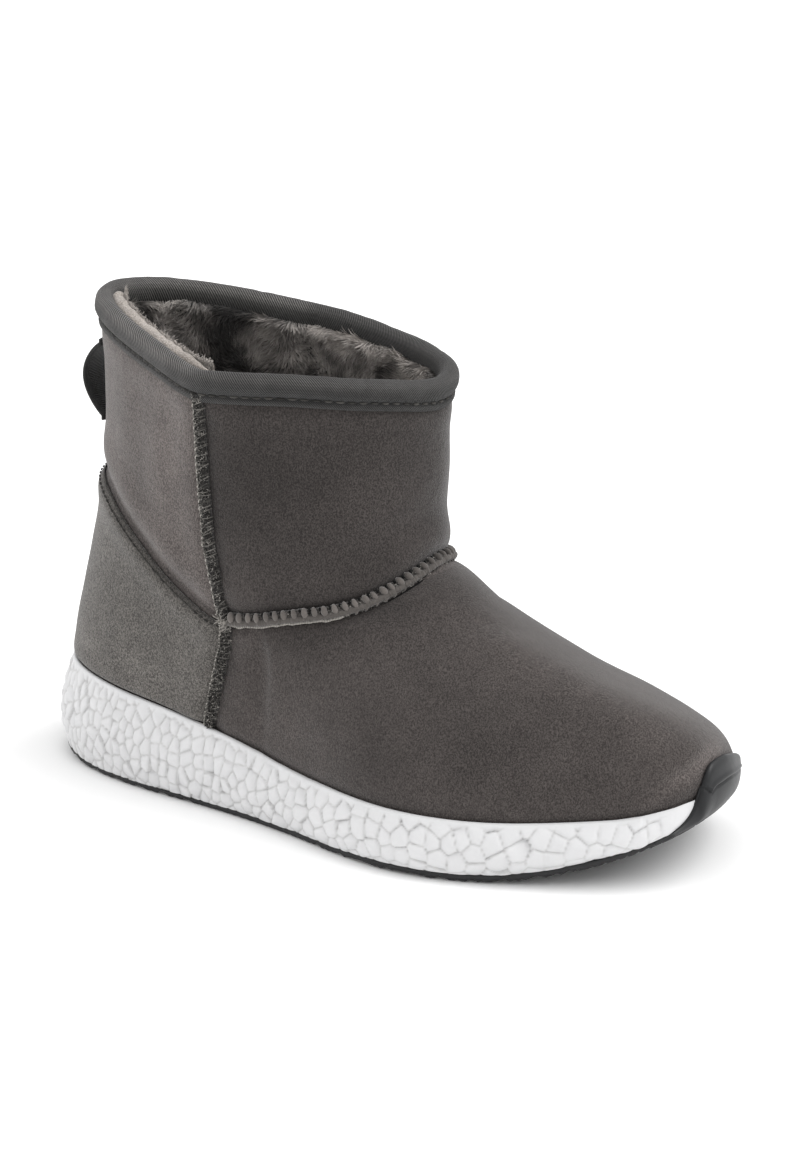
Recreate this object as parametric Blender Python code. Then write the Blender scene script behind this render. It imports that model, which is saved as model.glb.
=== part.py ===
"""Ankle boot for the right foot: a soft pull-on boot on a foam sports sole.

The toe points along +X, the inner side of the foot along +Y, and the sole stands on Z = 0.
Every piece is worked out from one function, the outer face of the upper. Its ribs start at the
foot line in the sole, pass the seams of the waist and end at the collar.
"""
import math

import bmesh
import bpy
import numpy as np
from mathutils import Matrix

MM = 0.001

# ---- driving dimensions, in metres -------------------------------------------------------------
LENGTH = 270 * MM          # outsole, heel to toe
BALL_WIDTH = 100 * MM      # outsole at the ball of the foot
HEEL_HEIGHT = 25 * MM      # foot bed above the floor at the heel
INSTEP_HEIGHT = 97 * MM    # instep seam at the front of the ankle
COLLAR_HEIGHT = 178 * MM   # top of the shaft at the back
WALL = 3.0 * MM            # suede, backing and the ground of the lining
GAP = 0.3 * MM             # between pieces that touch
RIM_WALL = 1.6 * MM        # foam at the top edge of the cup
HEEL_RUBBER = 2.0 * MM      # the outsole is thinner at the heel than at the ball
BALL_RUBBER = 3.0 * MM
TOE_RUBBER = 1.4 * MM
TOE_SPRING = 23.8 * MM
HEEL_BEVEL = 5 * MM
OUTSOLE_CHAMFER = 1.2 * MM
BULGE_HEIGHT = 0.42        # widest place of the foam's side, as a share of its height
INSOLE_THICKNESS = 5 * MM
INSOLE_ROUNDING = 3 * MM
COUNTER_THICKNESS = 1.0 * MM
COUNTER_GAP = 0.45 * MM
SEAM_WIDTH = 4.2 * MM
SEAM_HEIGHT = 1.7 * MM
BINDING_DEPTH = 7.6 * MM   # outer leg of the collar tape
BUMPER_THICKNESS = 1.5 * MM
BUMPER_LAP = 6 * MM        # bumper above the foam's rim at the tip of the toe
BUMPER_GAP = 0.5 * MM
TREAD_DEPTH = 1.1 * MM
TREAD_WIDTH = 3 * MM
PATCH_LOW = 78 * MM        # the blank patch on the back of the counter, above the floor
PATCH_HIGH = 84 * MM
PATCH_THICKNESS = 0.8 * MM
LOOP_WIDTH = 14 * MM
LOOP_BAND = 1.8 * MM
LOOP_HIGH = 18 * MM        # its upper and lower end, below the collar
LOOP_LOW = 49 * MM
LOOP_BOW = 8 * MM          # how far it stands off the boot

# Places as shares of the way round.
SIDE_SEAM = 0.20           # the side seams
PATCH_REACH = 0.022        # the patch, to each side of the middle of the back
TOE_TIP = 0.530            # middle of the bumper
BUMPER_REACH = 0.070       # to each side of the tip

# Clearances as shares of the lower rib.
SEAM_START = 0.020         # the side seams' lower ends above the foam's rim
COUNTER_START = 0.012      # the counter's lower edge above the foam's rim

# Ribs of the meshes: from, to and how many, as shares of the way round, closer at the toe.
RIB_SPREAD = (
    (0.0, 0.4, 24),
    (0.4, 0.6, 20),
    (0.6, 1.0, 24),
)

# Ribs round the boot, from the middle of the back along the outer side to the toe and home along
# the inner side. "round" is a share of the way round; "along" is a share of LENGTH, "across" a
# share of BALL_WIDTH, "up" a share of INSTEP_HEIGHT or COLLAR_HEIGHT; angles are in degrees, and
# "rise" and "reach", the pull of the two ends of the lower rib, are shares of LENGTH.
RIB_COLUMNS = ("round", "foot_along", "foot_across", "lean", "rise",
               "waist_along", "waist_across", "waist_up", "slope", "reach",
               "collar_along", "collar_across", "collar_up")
RIBS = (
    (0.00, 0.028, 0.00, 14, 0.093, 0.062, 0.01, 1.17, 88, 0.093, 0.053, 0.04, 1.002),
    (0.06, 0.050, -0.21, 14, 0.093, 0.090, -0.17, 1.14, 88, 0.093, 0.089, -0.13, 0.995),
    (0.12, 0.145, -0.32, 14, 0.085, 0.180, -0.32, 0.99, 88, 0.081, 0.181, -0.28, 0.974),
    (0.20, 0.296, -0.355, 12, 0.074, 0.326, -0.39, 0.77, 86, 0.059, 0.299, -0.41, 0.955),
    (0.28, 0.474, -0.425, 14, 0.089, 0.437, -0.37, 0.825, 66, 0.067, 0.402, -0.38, 0.955),
    (0.36, 0.671, -0.482, 14, 0.126, 0.518, -0.26, 0.90, 46, 0.107, 0.489, -0.24, 0.944),
    (0.43, 0.880, -0.255, 14, 0.141, 0.559, -0.10, 0.97, 34, 0.170, 0.540, -0.07, 0.927),
    (0.50, 0.983, 0.00, 16.5, 0.1785, 0.570, 0.05, 1.00, 38, 0.258, 0.562, 0.12, 0.911),
    (0.57, 0.938, 0.415, 18.5, 0.103, 0.559, 0.18, 0.967, 39, 0.234, 0.542, 0.27, 0.919),
    (0.64, 0.765, 0.440, 14, 0.112, 0.522, 0.30, 0.914, 43, 0.081, 0.483, 0.38, 0.922),
    (0.72, 0.541, 0.37, 14, 0.089, 0.444, 0.38, 0.825, 66, 0.067, 0.391, 0.44, 0.938),
    (0.80, 0.333, 0.32, 12, 0.074, 0.333, 0.40, 0.77, 86, 0.059, 0.290, 0.425, 0.953),
    (0.88, 0.150, 0.32, 14, 0.085, 0.180, 0.34, 0.99, 88, 0.081, 0.172, 0.36, 0.974),
    (0.94, 0.050, 0.21, 14, 0.093, 0.090, 0.19, 1.14, 88, 0.093, 0.092, 0.235, 0.992),
)

# Side of the sole: how far its bottom edge and its bulge stand out from the foot line.
SIDE_COLUMNS = ("round", "edge", "bulge")
SIDE = (
    (0.00, 6.5, 8.5),
    (0.12, 6.6, 8.2),
    (0.28, 6.0, 8.0),
    (0.38, 4.5, 7.0),
    (0.46, 2.8, 6.8),
    (0.54, 2.0, 3.0),
    (0.62, 4.5, 7.0),
    (0.72, 6.0, 8.0),
    (0.88, 6.0, 8.0),
)

# Heights along the sole: the foot bed and the top of the foam rim, in millimetres at each share
# of LENGTH.
HEIGHT_COLUMNS = ("along", "bed", "rim")
HEIGHTS = (
    (0.00, 25, 40.0),
    (0.11, 24, 37.0),
    (0.22, 21, 34.5),
    (0.33, 17, 30.0),
    (0.45, 14, 24.2),
    (0.60, 13, 23.4),
    (0.75, 13.5, 22.6),
    (0.85, 16.5, 24.4),
    (0.93, 21, 26.8),
    (1.00, 28, 34.4),
)


# ---- smooth curves -----------------------------------------------------------------------------
def closed_spline(knots, values):
    """A smooth closed curve through values at knots, which run from 0 up to less than 1."""
    knots = np.asarray(knots, float)
    values = np.asarray(values, float)
    count = len(knots)
    steps = np.diff(np.append(knots, 1.0 + knots[0]))
    matrix = np.zeros((count, count))
    right_side = np.zeros(values.shape)
    for i in range(count):
        before, after = (i - 1) % count, (i + 1) % count
        matrix[i, before] += steps[before]
        matrix[i, i] += 2 * (steps[before] + steps[i])
        matrix[i, after] += steps[i]
        right_side[i] = 6 * ((values[after] - values[i]) / steps[i]
                             - (values[i] - values[before]) / steps[before])
    bends = np.linalg.solve(matrix, right_side)

    def curve(at):
        at = np.atleast_1d(np.asarray(at, float)) % 1.0
        i = np.searchsorted(knots, at, side="right") - 1
        after = (i + 1) % count
        step = steps[i][:, None]
        t = ((at - knots[i]) / steps[i])[:, None]
        straight = (1 - t) * values[i] + t * values[after]
        bent = ((1 - t) ** 3 - (1 - t)) * bends[i] + (t ** 3 - t) * bends[after]
        return straight + step * step / 6 * bent

    return curve


def columns(table, names, wanted):
    """The wanted columns of a table as an array with a row for each of its rows."""
    return np.array([[row[names.index(name)] for name in wanted] for row in table], float)


def rib_curve(*wanted, scale):
    """A closed curve through some columns of RIBS."""
    knots = columns(RIBS, RIB_COLUMNS, ("round",))[:, 0]
    return closed_spline(knots, columns(RIBS, RIB_COLUMNS, wanted) * np.array(scale))


foot_line = rib_curve("foot_along", "foot_across", scale=(LENGTH, BALL_WIDTH))
foot_pull = rib_curve("lean", "rise", scale=(math.radians(1), LENGTH))
waist_line = rib_curve("waist_along", "waist_across", "waist_up",
                       scale=(LENGTH, BALL_WIDTH, INSTEP_HEIGHT))
waist_pull = rib_curve("slope", "reach", scale=(math.radians(1), LENGTH))
collar_line = rib_curve("collar_along", "collar_across", "collar_up",
                        scale=(LENGTH, BALL_WIDTH, COLLAR_HEIGHT))
side_reach = closed_spline(columns(SIDE, SIDE_COLUMNS, ("round",))[:, 0],
                           columns(SIDE, SIDE_COLUMNS, ("edge", "bulge")) * MM)


def smooth_height(name, x):
    """A column of HEIGHTS at x, eased between its rows."""
    along = columns(HEIGHTS, HEIGHT_COLUMNS, ("along",))[:, 0] * LENGTH
    height = columns(HEIGHTS, HEIGHT_COLUMNS, (name,))[:, 0] * MM
    reach = 0.03 * LENGTH
    return sum(np.interp(x + shift * reach, along, height) for shift in (-1, 0, 1)) / 3


def bed_height(x):
    return smooth_height("bed", x) * HEEL_HEIGHT / (HEIGHTS[0][1] * MM)


def rim_height(x):
    return smooth_height("rim", x)


def ground_height(x):
    """Underside of the outsole: flat at the heel and the ball, bevelled behind, sprung in front."""
    spring_start, bevel_end = 0.72 * LENGTH, 0.11 * LENGTH
    spring = np.clip((x - spring_start) / (LENGTH - spring_start), 0, None)
    bevel = np.clip((bevel_end - x) / bevel_end, 0, None)
    return TOE_SPRING * spring ** 2 + HEEL_BEVEL * bevel ** 2


def rubber_top(x):
    """Upper face of the outsole."""
    share = np.clip((x / LENGTH - 0.42) / 0.20, 0, 1)
    toe = np.clip((x / LENGTH - 0.86) / 0.14, 0, 1)
    thickness = HEEL_RUBBER + (BALL_RUBBER - HEEL_RUBBER) * share
    return ground_height(x) + thickness - (BALL_RUBBER - TOE_RUBBER) * toe


# ---- the outer face of the upper ---------------------------------------------------------------
def unit(vectors):
    return vectors / np.linalg.norm(vectors, axis=-1, keepdims=True)


def outward(around):
    """Level direction away from the foot, square to the foot line."""
    small = 0.002
    run = foot_line(around + small) - foot_line(around - small)
    return unit(np.column_stack([run[:, 1], -run[:, 0]]))


def level(vectors, height=0.0):
    """Level vectors or points given a height."""
    return np.column_stack([vectors, np.broadcast_to(height, len(vectors))])


def bezier(a, b, c, d, t):
    t = t[:, None]
    return (1 - t) ** 3 * a + 3 * (1 - t) ** 2 * t * b + 3 * (1 - t) * t ** 2 * c + t ** 3 * d


def face(around, up):
    """Outer face of the upper. up is 0 at the foot line, 1 at the waist and 2 at the collar."""
    around, up = np.broadcast_arrays(np.asarray(around, float), np.asarray(up, float))
    plan = foot_line(around)
    foot = level(plan, bed_height(plan[:, 0]))
    waist = waist_line(around)
    collar = collar_line(around)
    lean, rise = foot_pull(around).T[:, :, None]
    slope, reach = waist_pull(around).T[:, :, None]
    rising = level(outward(around)) * np.sin(lean) + np.array([0, 0, 1]) * np.cos(lean)
    inward = level(unit((waist - foot)[:, :2]))
    arriving = inward * np.cos(slope) + np.array([0, 0, 1]) * np.sin(slope)
    lower = bezier(foot, foot + rising * rise, waist - arriving * reach, waist,
                   np.clip(up, None, 1))
    third = (collar - waist) / 3
    upper = bezier(waist, waist + third, collar - third, collar, np.clip(up - 1, 0, None))
    return np.where((up > 1)[:, None], upper, lower)


def rib_direction(around, up, side):
    """Direction of a rib, taken below (side -1) or above (side 1) a point."""
    small = 0.01
    return unit((face(around, up + side * small) - face(around, up)) * side)


def face_normal(around, up):
    """Outward direction of the upper's outer face, shared evenly where it folds."""
    around, up = np.broadcast_arrays(np.asarray(around, float), np.asarray(up, float))
    small = 0.003
    run = unit(face(around + small, up) - face(around - small, up))
    rib = unit(rib_direction(around, up, -1) + rib_direction(around, up, 1))
    rib = np.where((up < 0.01)[:, None], rib_direction(around, up, 1), rib)
    return unit(np.cross(run, rib))


def lifted(around, up, lift):
    """A point that stands off the upper's outer face."""
    around, up, lift = np.broadcast_arrays(*(np.asarray(v, float) for v in (around, up, lift)))
    return face(around, up) + face_normal(around, up) * lift[:, None]


def up_at_height(around, height):
    """Where the lower rib passes a height."""
    around, height = np.broadcast_arrays(np.asarray(around, float), np.asarray(height, float))
    low, high = np.zeros(len(around)), np.ones(len(around))
    for _ in range(24):
        middle = (low + high) / 2
        below = face(around, middle)[:, 2] < height
        low, high = np.where(below, middle, low), np.where(below, high, middle)
    return (low + high) / 2


def up_below_collar(around, drop):
    """Where the shaft's rib is a distance below the collar."""
    length = np.linalg.norm(collar_line(around) - waist_line(around), axis=1)
    return 2 - drop / length


# ---- the side of the sole ----------------------------------------------------------------------
def toe_zone(around):
    """Height of the bumper along the toe: 1 at its tip, 0 where it ends."""
    reach = np.clip(1 - np.abs(np.asarray(around, float) - TOE_TIP) / BUMPER_REACH, 0, 1)
    return reach * reach * (3 - 2 * reach)


def bumper_thickness(around):
    """The bumper thins out towards its two ends."""
    return BUMPER_THICKNESS * (0.35 + 0.65 * toe_zone(around) ** 0.5)


def recess(around):
    """How far the foam stands back for the bumper."""
    run_out = 0.012
    under = (BUMPER_REACH + run_out - np.abs(around - TOE_TIP)) / run_out
    return np.clip(under, 0, 1) * (bumper_thickness(around) + BUMPER_GAP)


def bumper_top(around):
    """Height of the bumper's top edge."""
    foot_x = foot_line(around)[:, 0]
    low = rubber_top(foot_x)
    return low + (rim_height(foot_x) + BUMPER_LAP - low) * toe_zone(around) ** 0.45


def rim_up(around):
    return up_at_height(around, rim_height(foot_line(around)[:, 0]))


def side_point(around, share, out=0.0):
    """The foam's side, from its bottom edge (share 0) over its bulge to the rim (share 1)."""
    away = outward(around)
    reach = side_reach(around) + (out - recess(around))[:, None]
    plan = foot_line(around)
    low = plan + away * reach[:, :1]
    low = level(low, rubber_top(low[:, 0]) + GAP)
    rim_wall = RIM_WALL * np.where(recess(around) > GAP, 0.5, 1)
    top = lifted(around, rim_up(around), GAP + rim_wall + out)
    bulge = level(plan + away * reach[:, 1:], low[:, 2] + BULGE_HEIGHT * (top[:, 2] - low[:, 2]))
    return (low * (2 * share - 1) * (share - 1) + bulge * 4 * share * (1 - share)
            + top * share * (2 * share - 1))


def cover_point(around, height, out):
    """A point at a height that stands off the foam or, above its rim, off the upper."""
    rim = rim_height(foot_line(around)[:, 0])
    low, high = np.zeros(len(around)), np.ones(len(around))
    for _ in range(20):
        middle = (low + high) / 2
        below = side_point(around, middle[:, None], out)[:, 2] < height
        low, high = np.where(below, middle, low), np.where(below, high, middle)
    on_foam = side_point(around, high[:, None], out)
    settled = np.clip((height - rim) / BUMPER_LAP, 0, 1)
    lift = out + (GAP + RIM_WALL / 2) * (1 - settled)
    on_upper = lifted(around, up_at_height(around, height), lift)
    return np.where((height > rim)[:, None], on_upper, on_foam)


# ---- making meshes -----------------------------------------------------------------------------
def material(name, colour, roughness, metallic=0.0):
    made = bpy.data.materials.new(name)
    made.use_nodes = True
    shader = made.node_tree.nodes["Principled BSDF"]
    shader.inputs["Base Color"].default_value = (*colour, 1.0)
    shader.inputs["Roughness"].default_value = roughness
    shader.inputs["Metallic"].default_value = metallic
    made.diffuse_color = (*colour, 1.0)
    return made


def finish(bm, name, finish_material, sharp_angle=50):
    """Turn a bmesh into an object with outward faces and smooth shading."""
    bmesh.ops.recalc_face_normals(bm, faces=bm.faces)
    mesh = bpy.data.meshes.new(name)
    bm.to_mesh(mesh)
    bm.free()
    mesh.shade_smooth()
    mesh.set_sharp_from_angle(angle=math.radians(sharp_angle))
    mesh.materials.append(finish_material)
    piece = bpy.data.objects.new(name, mesh)
    bpy.context.collection.objects.link(piece)
    return piece


def add_ring(bm, points):
    return [bm.verts.new(point) for point in points]


def skin_rings(bm, first, second):
    """Quads between two rings of as many vertices."""
    count = len(first)
    return [bm.faces.new((first[i], first[(i + 1) % count], second[(i + 1) % count], second[i]))
            for i in range(count)]


def ladder(bm, ring):
    """Fill a ring with rungs from its outer to its inner side."""
    count = len(ring)
    half = count // 2
    bm.faces.new((ring[0], ring[1], ring[-1]))
    for i in range(1, half - 1):
        bm.faces.new((ring[i], ring[i + 1], ring[count - i - 1], ring[count - i]))
    bm.faces.new((ring[half - 1], ring[half], ring[half + 1]))


def closed_loft(name, rings, finish_material):
    """A tube-like solid whose last ring joins its first."""
    bm = bmesh.new()
    rows = [add_ring(bm, ring) for ring in rings]
    for first, second in zip(rows, rows[1:] + rows[:1]):
        skin_rings(bm, first, second)
    return finish(bm, name, finish_material)


def capped_loft(name, rings, finish_material):
    """A solid through rings, its two ends filled with rungs."""
    bm = bmesh.new()
    rows = [add_ring(bm, ring) for ring in rings]
    for first, second in zip(rows, rows[1:]):
        skin_rings(bm, first, second)
    ladder(bm, rows[0])
    ladder(bm, rows[-1])
    return finish(bm, name, finish_material)


def panel(name, around, low, high, rows, inner_lift, outer_lift, finish_material):
    """A thin panel on the upper between two edges, low and high, one value for each rib."""
    shares = np.linspace(0, 1, rows)
    ups = [low + (high - low) * share for share in shares]
    sections = [lifted(around, up, outer_lift) for up in ups]
    sections += [lifted(around, up, inner_lift) for up in reversed(ups)]
    bm = bmesh.new()
    bars = [add_ring(bm, bar) for bar in np.array(sections).transpose(1, 0, 2)]
    for first, second in zip(bars, bars[1:]):
        skin_rings(bm, first, second)
    for bar in (bars[0], bars[-1]):
        for i in range(rows - 1):
            bm.faces.new((bar[i], bar[i + 1], bar[-2 - i], bar[-1 - i]))
    return finish(bm, name, finish_material)


def sweep(name, centres, across, out, section, finish_material):
    """A bar along centres. section holds (across, out) pairs, one list for each centre."""
    bm = bmesh.new()
    bars = []
    for centre, sideways, away, profile in zip(centres, across, out, section):
        bars.append(add_ring(bm, [centre + sideways * a + away * b for a, b in profile]))
    for first, second in zip(bars, bars[1:]):
        skin_rings(bm, first, second)
    bm.faces.new(bars[0])
    bm.faces.new(bars[-1])
    return finish(bm, name, finish_material)


# ---- the pieces --------------------------------------------------------------------------------
AROUND = np.concatenate([np.linspace(start, end, count, endpoint=False)
                         for start, end, count in RIB_SPREAD])
ROUND = len(AROUND)
OUTER_ROWS = (12, 6)       # rows of the wall's outer face below and above the waist
INNER_ROWS = (8, 4)
BUMPER_STEPS = 6

# Grooves across the tread: the first and the last as shares of LENGTH, and how many.
TREAD_GROOVES = (
    (0.06, 0.27, 6),
    (0.50, 0.85, 10),
)


def rib_steps(below, above):
    """Places along a rib, from the foot line to the collar."""
    return np.concatenate([np.linspace(0, 1, below + 1), np.linspace(1, 2, above + 1)[1:]])


def make_upper(suede):
    outer = [lifted(AROUND, up, 0) for up in rib_steps(*OUTER_ROWS)]
    inner = [lifted(AROUND, up, -WALL) for up in rib_steps(*INNER_ROWS)[::-1]]
    return closed_loft("upper", outer + inner, suede)


def make_midsole(foam):
    side = [side_point(AROUND, share) for share in (0.0, 0.2, 0.45, 0.7, 0.9, 1.0)]
    top = rim_up(AROUND)
    cup = [lifted(AROUND, top * share, GAP) for share in (1.0, 0.5, 0.0)]
    cup[-1][:, 2] -= GAP
    return capped_loft("midsole", side + cup, foam)


def make_insole(lining):
    """A loose sole in the cup, its top edge rounded over."""
    bed = bed_height(foot_line(AROUND)[:, 0])
    lift = -WALL - 2.5 * GAP
    low = up_at_height(AROUND, bed + GAP)
    high = up_at_height(AROUND, bed + INSOLE_THICKNESS)
    rings = [lifted(AROUND, low, lift), lifted(AROUND, (low + high) / 2, lift),
             lifted(AROUND, high, lift - INSOLE_ROUNDING / 6),
             lifted(AROUND, high, lift - INSOLE_ROUNDING)]
    rings[0][:, 2] = bed
    rings[3][:, 2] += INSOLE_ROUNDING / 5
    return capped_loft("insole", rings, lining)


def make_outsole(rubber):
    """The tread sole. The strip of its top faces round the toe is drawn up into the bumper."""
    away = level(outward(AROUND))
    edge = side_point(AROUND, 0.0, recess(AROUND))
    edge[:, 2] = rubber_top(edge[:, 0])
    under = edge - away * OUTSOLE_CHAMFER
    under[:, 2] = ground_height(under[:, 0])
    inner = edge - away * bumper_thickness(AROUND)[:, None]
    inner[:, 2] = rubber_top(inner[:, 0])

    bm = bmesh.new()
    rib_of = bm.verts.layers.int.new("rib")
    outside = bm.verts.layers.int.new("outside")
    rows = [add_ring(bm, ring) for ring in (under, edge, inner)]
    for i in range(ROUND):
        rows[1][i][rib_of] = rows[2][i][rib_of] = i
        rows[1][i][outside] = 1
    skin_rings(bm, rows[0], rows[1])
    strip = skin_rings(bm, rows[1], rows[2])
    ladder(bm, rows[0])
    ladder(bm, rows[2])

    top, slab = bumper_top(AROUND), edge[:, 2]
    raised = top - slab > 2 * MM
    drawn = [strip[i] for i in range(ROUND) if raised[i] and raised[(i + 1) % ROUND]]
    for step in range(1, BUMPER_STEPS + 1):
        share = step / BUMPER_STEPS
        height = slab + (top - slab) * share
        thickness = bumper_thickness(AROUND) * (1 - 0.4 * share ** 3)
        skins = (cover_point(AROUND, height, BUMPER_GAP),
                 cover_point(AROUND, height, BUMPER_GAP + thickness))
        grown = bmesh.ops.extrude_face_region(bm, geom=drawn)["geom"]
        bmesh.ops.delete(bm, geom=drawn, context="FACES")
        for vertex in grown:
            if isinstance(vertex, bmesh.types.BMVert):
                vertex.co = skins[vertex[outside]][vertex[rib_of]]
        drawn = [face_ for face_ in grown if isinstance(face_, bmesh.types.BMFace)]
    outsole = finish(bm, "outsole", rubber)

    cut = outsole.modifiers.new("tread", "BOOLEAN")
    cut.operation = "DIFFERENCE"
    cut.solver = "EXACT"
    cut.object = make_tread_cutter()
    return outsole


def make_tread_cutter():
    """Bars that cut the grooves across the tread."""
    bm = bmesh.new()
    for start, end, count in TREAD_GROOVES:
        for x in np.linspace(start, end, count) * LENGTH:
            small = 1 * MM
            fall = (ground_height(x + small) - ground_height(x - small)) / (2 * small)
            place = Matrix.Translation((x, 0, ground_height(x) + TREAD_DEPTH / 2 - 1 * MM))
            turn = Matrix.Rotation(-math.atan(fall), 4, "Y")
            size = Matrix.Diagonal((TREAD_WIDTH, 2 * BALL_WIDTH, TREAD_DEPTH + 2 * MM, 1))
            bmesh.ops.create_cube(bm, size=1, matrix=place @ turn @ size)
    mesh = bpy.data.meshes.new("tread_cutter")
    bm.to_mesh(mesh)
    bm.free()
    cutter = bpy.data.objects.new("tread_cutter", mesh)
    bpy.context.collection.objects.link(cutter)
    cutter.hide_render = True
    cutter.display_type = "WIRE"
    return cutter


def seam_section(width, height, lifts):
    """Half-round profiles that stand at the given lifts."""
    turns = np.linspace(0, math.pi, 7)
    return [[(width / 2 * math.cos(t), lift + height * math.sin(t)) for t in turns]
            for lift in lifts]


def make_seam(name, around, up, thread):
    """A raised overlocked seam along a line on the upper, held clear of the fold below it."""
    centres = face(around, up)
    out = face_normal(around, up)
    run = unit(np.gradient(centres, axis=0))
    across = unit(np.cross(run, out))
    below, above = rib_direction(around, up, -1), rib_direction(around, up, 1)
    fold = np.arccos(np.clip((below * above).sum(axis=1), -1, 1)) / 2
    hollow = ((above - below) * out).sum(axis=1) > 0
    follows_fold = np.ptp(up) < 0.01
    rise = np.where(hollow & follows_fold, np.tan(fold) * SEAM_WIDTH / 2, 0)
    profiles = seam_section(SEAM_WIDTH, SEAM_HEIGHT, GAP + rise)
    return sweep(name, centres, across, out, profiles, thread)


def side_seam_share(around):
    """Half a seam and a gap, as a share of the way round."""
    small = 0.002
    pace = np.linalg.norm(face([around + small], [1.0]) - face([around - small], [1.0]))
    return (SEAM_WIDTH / 2 + GAP) * 2 * small / pace


def make_seams(thread):
    rows = 16
    seams = []
    for name, around in (("seam_lateral", SIDE_SEAM), ("seam_medial", 1 - SIDE_SEAM)):
        low = rim_up([around])[0] + SEAM_START
        high = up_below_collar([around], BINDING_DEPTH + 2 * GAP)[0]
        up = np.linspace(low, high, rows)
        seams.append(make_seam(name, np.full(rows, around), up, thread))
    clear = side_seam_share(SIDE_SEAM)
    around = np.linspace(SIDE_SEAM + clear, 1 - SIDE_SEAM - clear, 40)
    seams.append(make_seam("seam_instep", around, np.ones(40), thread))
    return seams


def make_counter(suede):
    clear = side_seam_share(SIDE_SEAM)
    around = np.linspace(-SIDE_SEAM + clear, SIDE_SEAM - clear, 25)
    low = rim_up(around) + COUNTER_START
    high = np.full(len(around), 1.0)
    return panel("heel_counter", around, low, high, 7, COUNTER_GAP,
                 COUNTER_GAP + COUNTER_THICKNESS, suede)


def make_patch(plain):
    """A small blank patch on the back of the counter."""
    around = np.linspace(-PATCH_REACH, PATCH_REACH, 7)
    low = up_at_height(around, PATCH_LOW)
    high = up_at_height(around, PATCH_HIGH)
    lift = COUNTER_GAP + COUNTER_THICKNESS + GAP
    return panel("heel_patch", around, low, high, 3, lift, lift + PATCH_THICKNESS, plain)


# Section of the collar tape in millimetres: below the collar's edge, and off the outer face.
BINDING_COLUMNS = ("drop", "lift")
BINDING = (
    (7.6, 1.1), (4.0, 1.5), (0.6, 1.9), (-1.5, 1.1), (-2.4, -1.5), (-1.5, -4.1),
    (0.6, -4.9), (6.0, -4.4), (6.0, -3.5), (-0.4, -3.5), (-0.4, 0.5), (7.6, 0.4),
)


def make_binding(tape):
    rings = [lifted(AROUND, up_below_collar(AROUND, drop * MM), lift * MM)
             for drop, lift in BINDING]
    return closed_loft("collar_binding", rings, tape)


def make_loop(webbing):
    """A band stitched down at both ends, bowed out between them."""
    share = np.linspace(0, 1, 25)
    drop = LOOP_LOW + (LOOP_HIGH - LOOP_LOW) * share
    stitched = 0.11
    bow = np.clip((share - stitched) / (1 - 2 * stitched), 0, 1)
    stand_off = LOOP_BOW * np.sin(math.pi * bow ** 1.1) ** 0.8
    around = np.zeros(len(share))
    centres = lifted(around, up_below_collar(around, drop), GAP + LOOP_BAND / 2 + stand_off)
    run = unit(np.gradient(centres, axis=0))
    across = np.tile(np.array([0.0, 1.0, 0.0]), (len(share), 1))
    out = unit(np.cross(run, across))
    half_width, half_band = LOOP_WIDTH / 2, LOOP_BAND / 2
    profile = [(-half_width, -half_band), (half_width, -half_band),
               (half_width, half_band), (-half_width, half_band)]
    return sweep("pull_loop", centres, across, out, [profile] * len(share), webbing)


def main():
    for old in list(bpy.data.objects):
        bpy.data.objects.remove(old, do_unlink=True)
    suede = material("suede", (0.098, 0.084, 0.078), 0.95)
    counter_suede = material("suede_counter", (0.093, 0.088, 0.080), 0.95)
    foam = material("foam", (0.82, 0.83, 0.85), 0.6)
    rubber = material("rubber", (0.018, 0.018, 0.019), 0.55)
    tape = material("tape", (0.072, 0.070, 0.068), 0.85)
    thread = material("thread", (0.11, 0.105, 0.095), 0.9)
    lining = material("lining", (0.22, 0.20, 0.185), 1.0)
    webbing = material("webbing", (0.02, 0.02, 0.021), 0.8)
    pieces = [make_outsole(rubber), make_midsole(foam), make_insole(lining), make_upper(suede),
              make_counter(counter_suede), *make_seams(thread), make_binding(tape),
              make_loop(webbing), make_patch(webbing)]
    corners = np.array([piece.matrix_world @ vertex.co for piece in pieces
                        for vertex in piece.data.vertices])
    low, high = corners.min(axis=0), corners.max(axis=0)
    stand = bpy.data.objects.new("ankle_boot", None)
    bpy.context.collection.objects.link(stand)
    stand.location = (-(low[0] + high[0]) / 2, -(low[1] + high[1]) / 2, -low[2])
    for piece in bpy.data.objects:
        if piece != stand:
            piece.parent = stand


main()
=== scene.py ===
# %% [markdown]
# # A soft ankle boot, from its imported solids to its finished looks
# The solids of the boot are already made: they give its size, its last and its collision. This
# lesson dresses them. Each piece is built again, finer, from the same few sizes that made its
# solid: the ribs of the boot, which rise from the foot line in the sole, pass the seams at the
# waist and end at the collar. So every piece lands in its place without any fitting.

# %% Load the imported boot
import math

import bmesh
import bpy
import numpy as np
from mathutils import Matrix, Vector, noise


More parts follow.
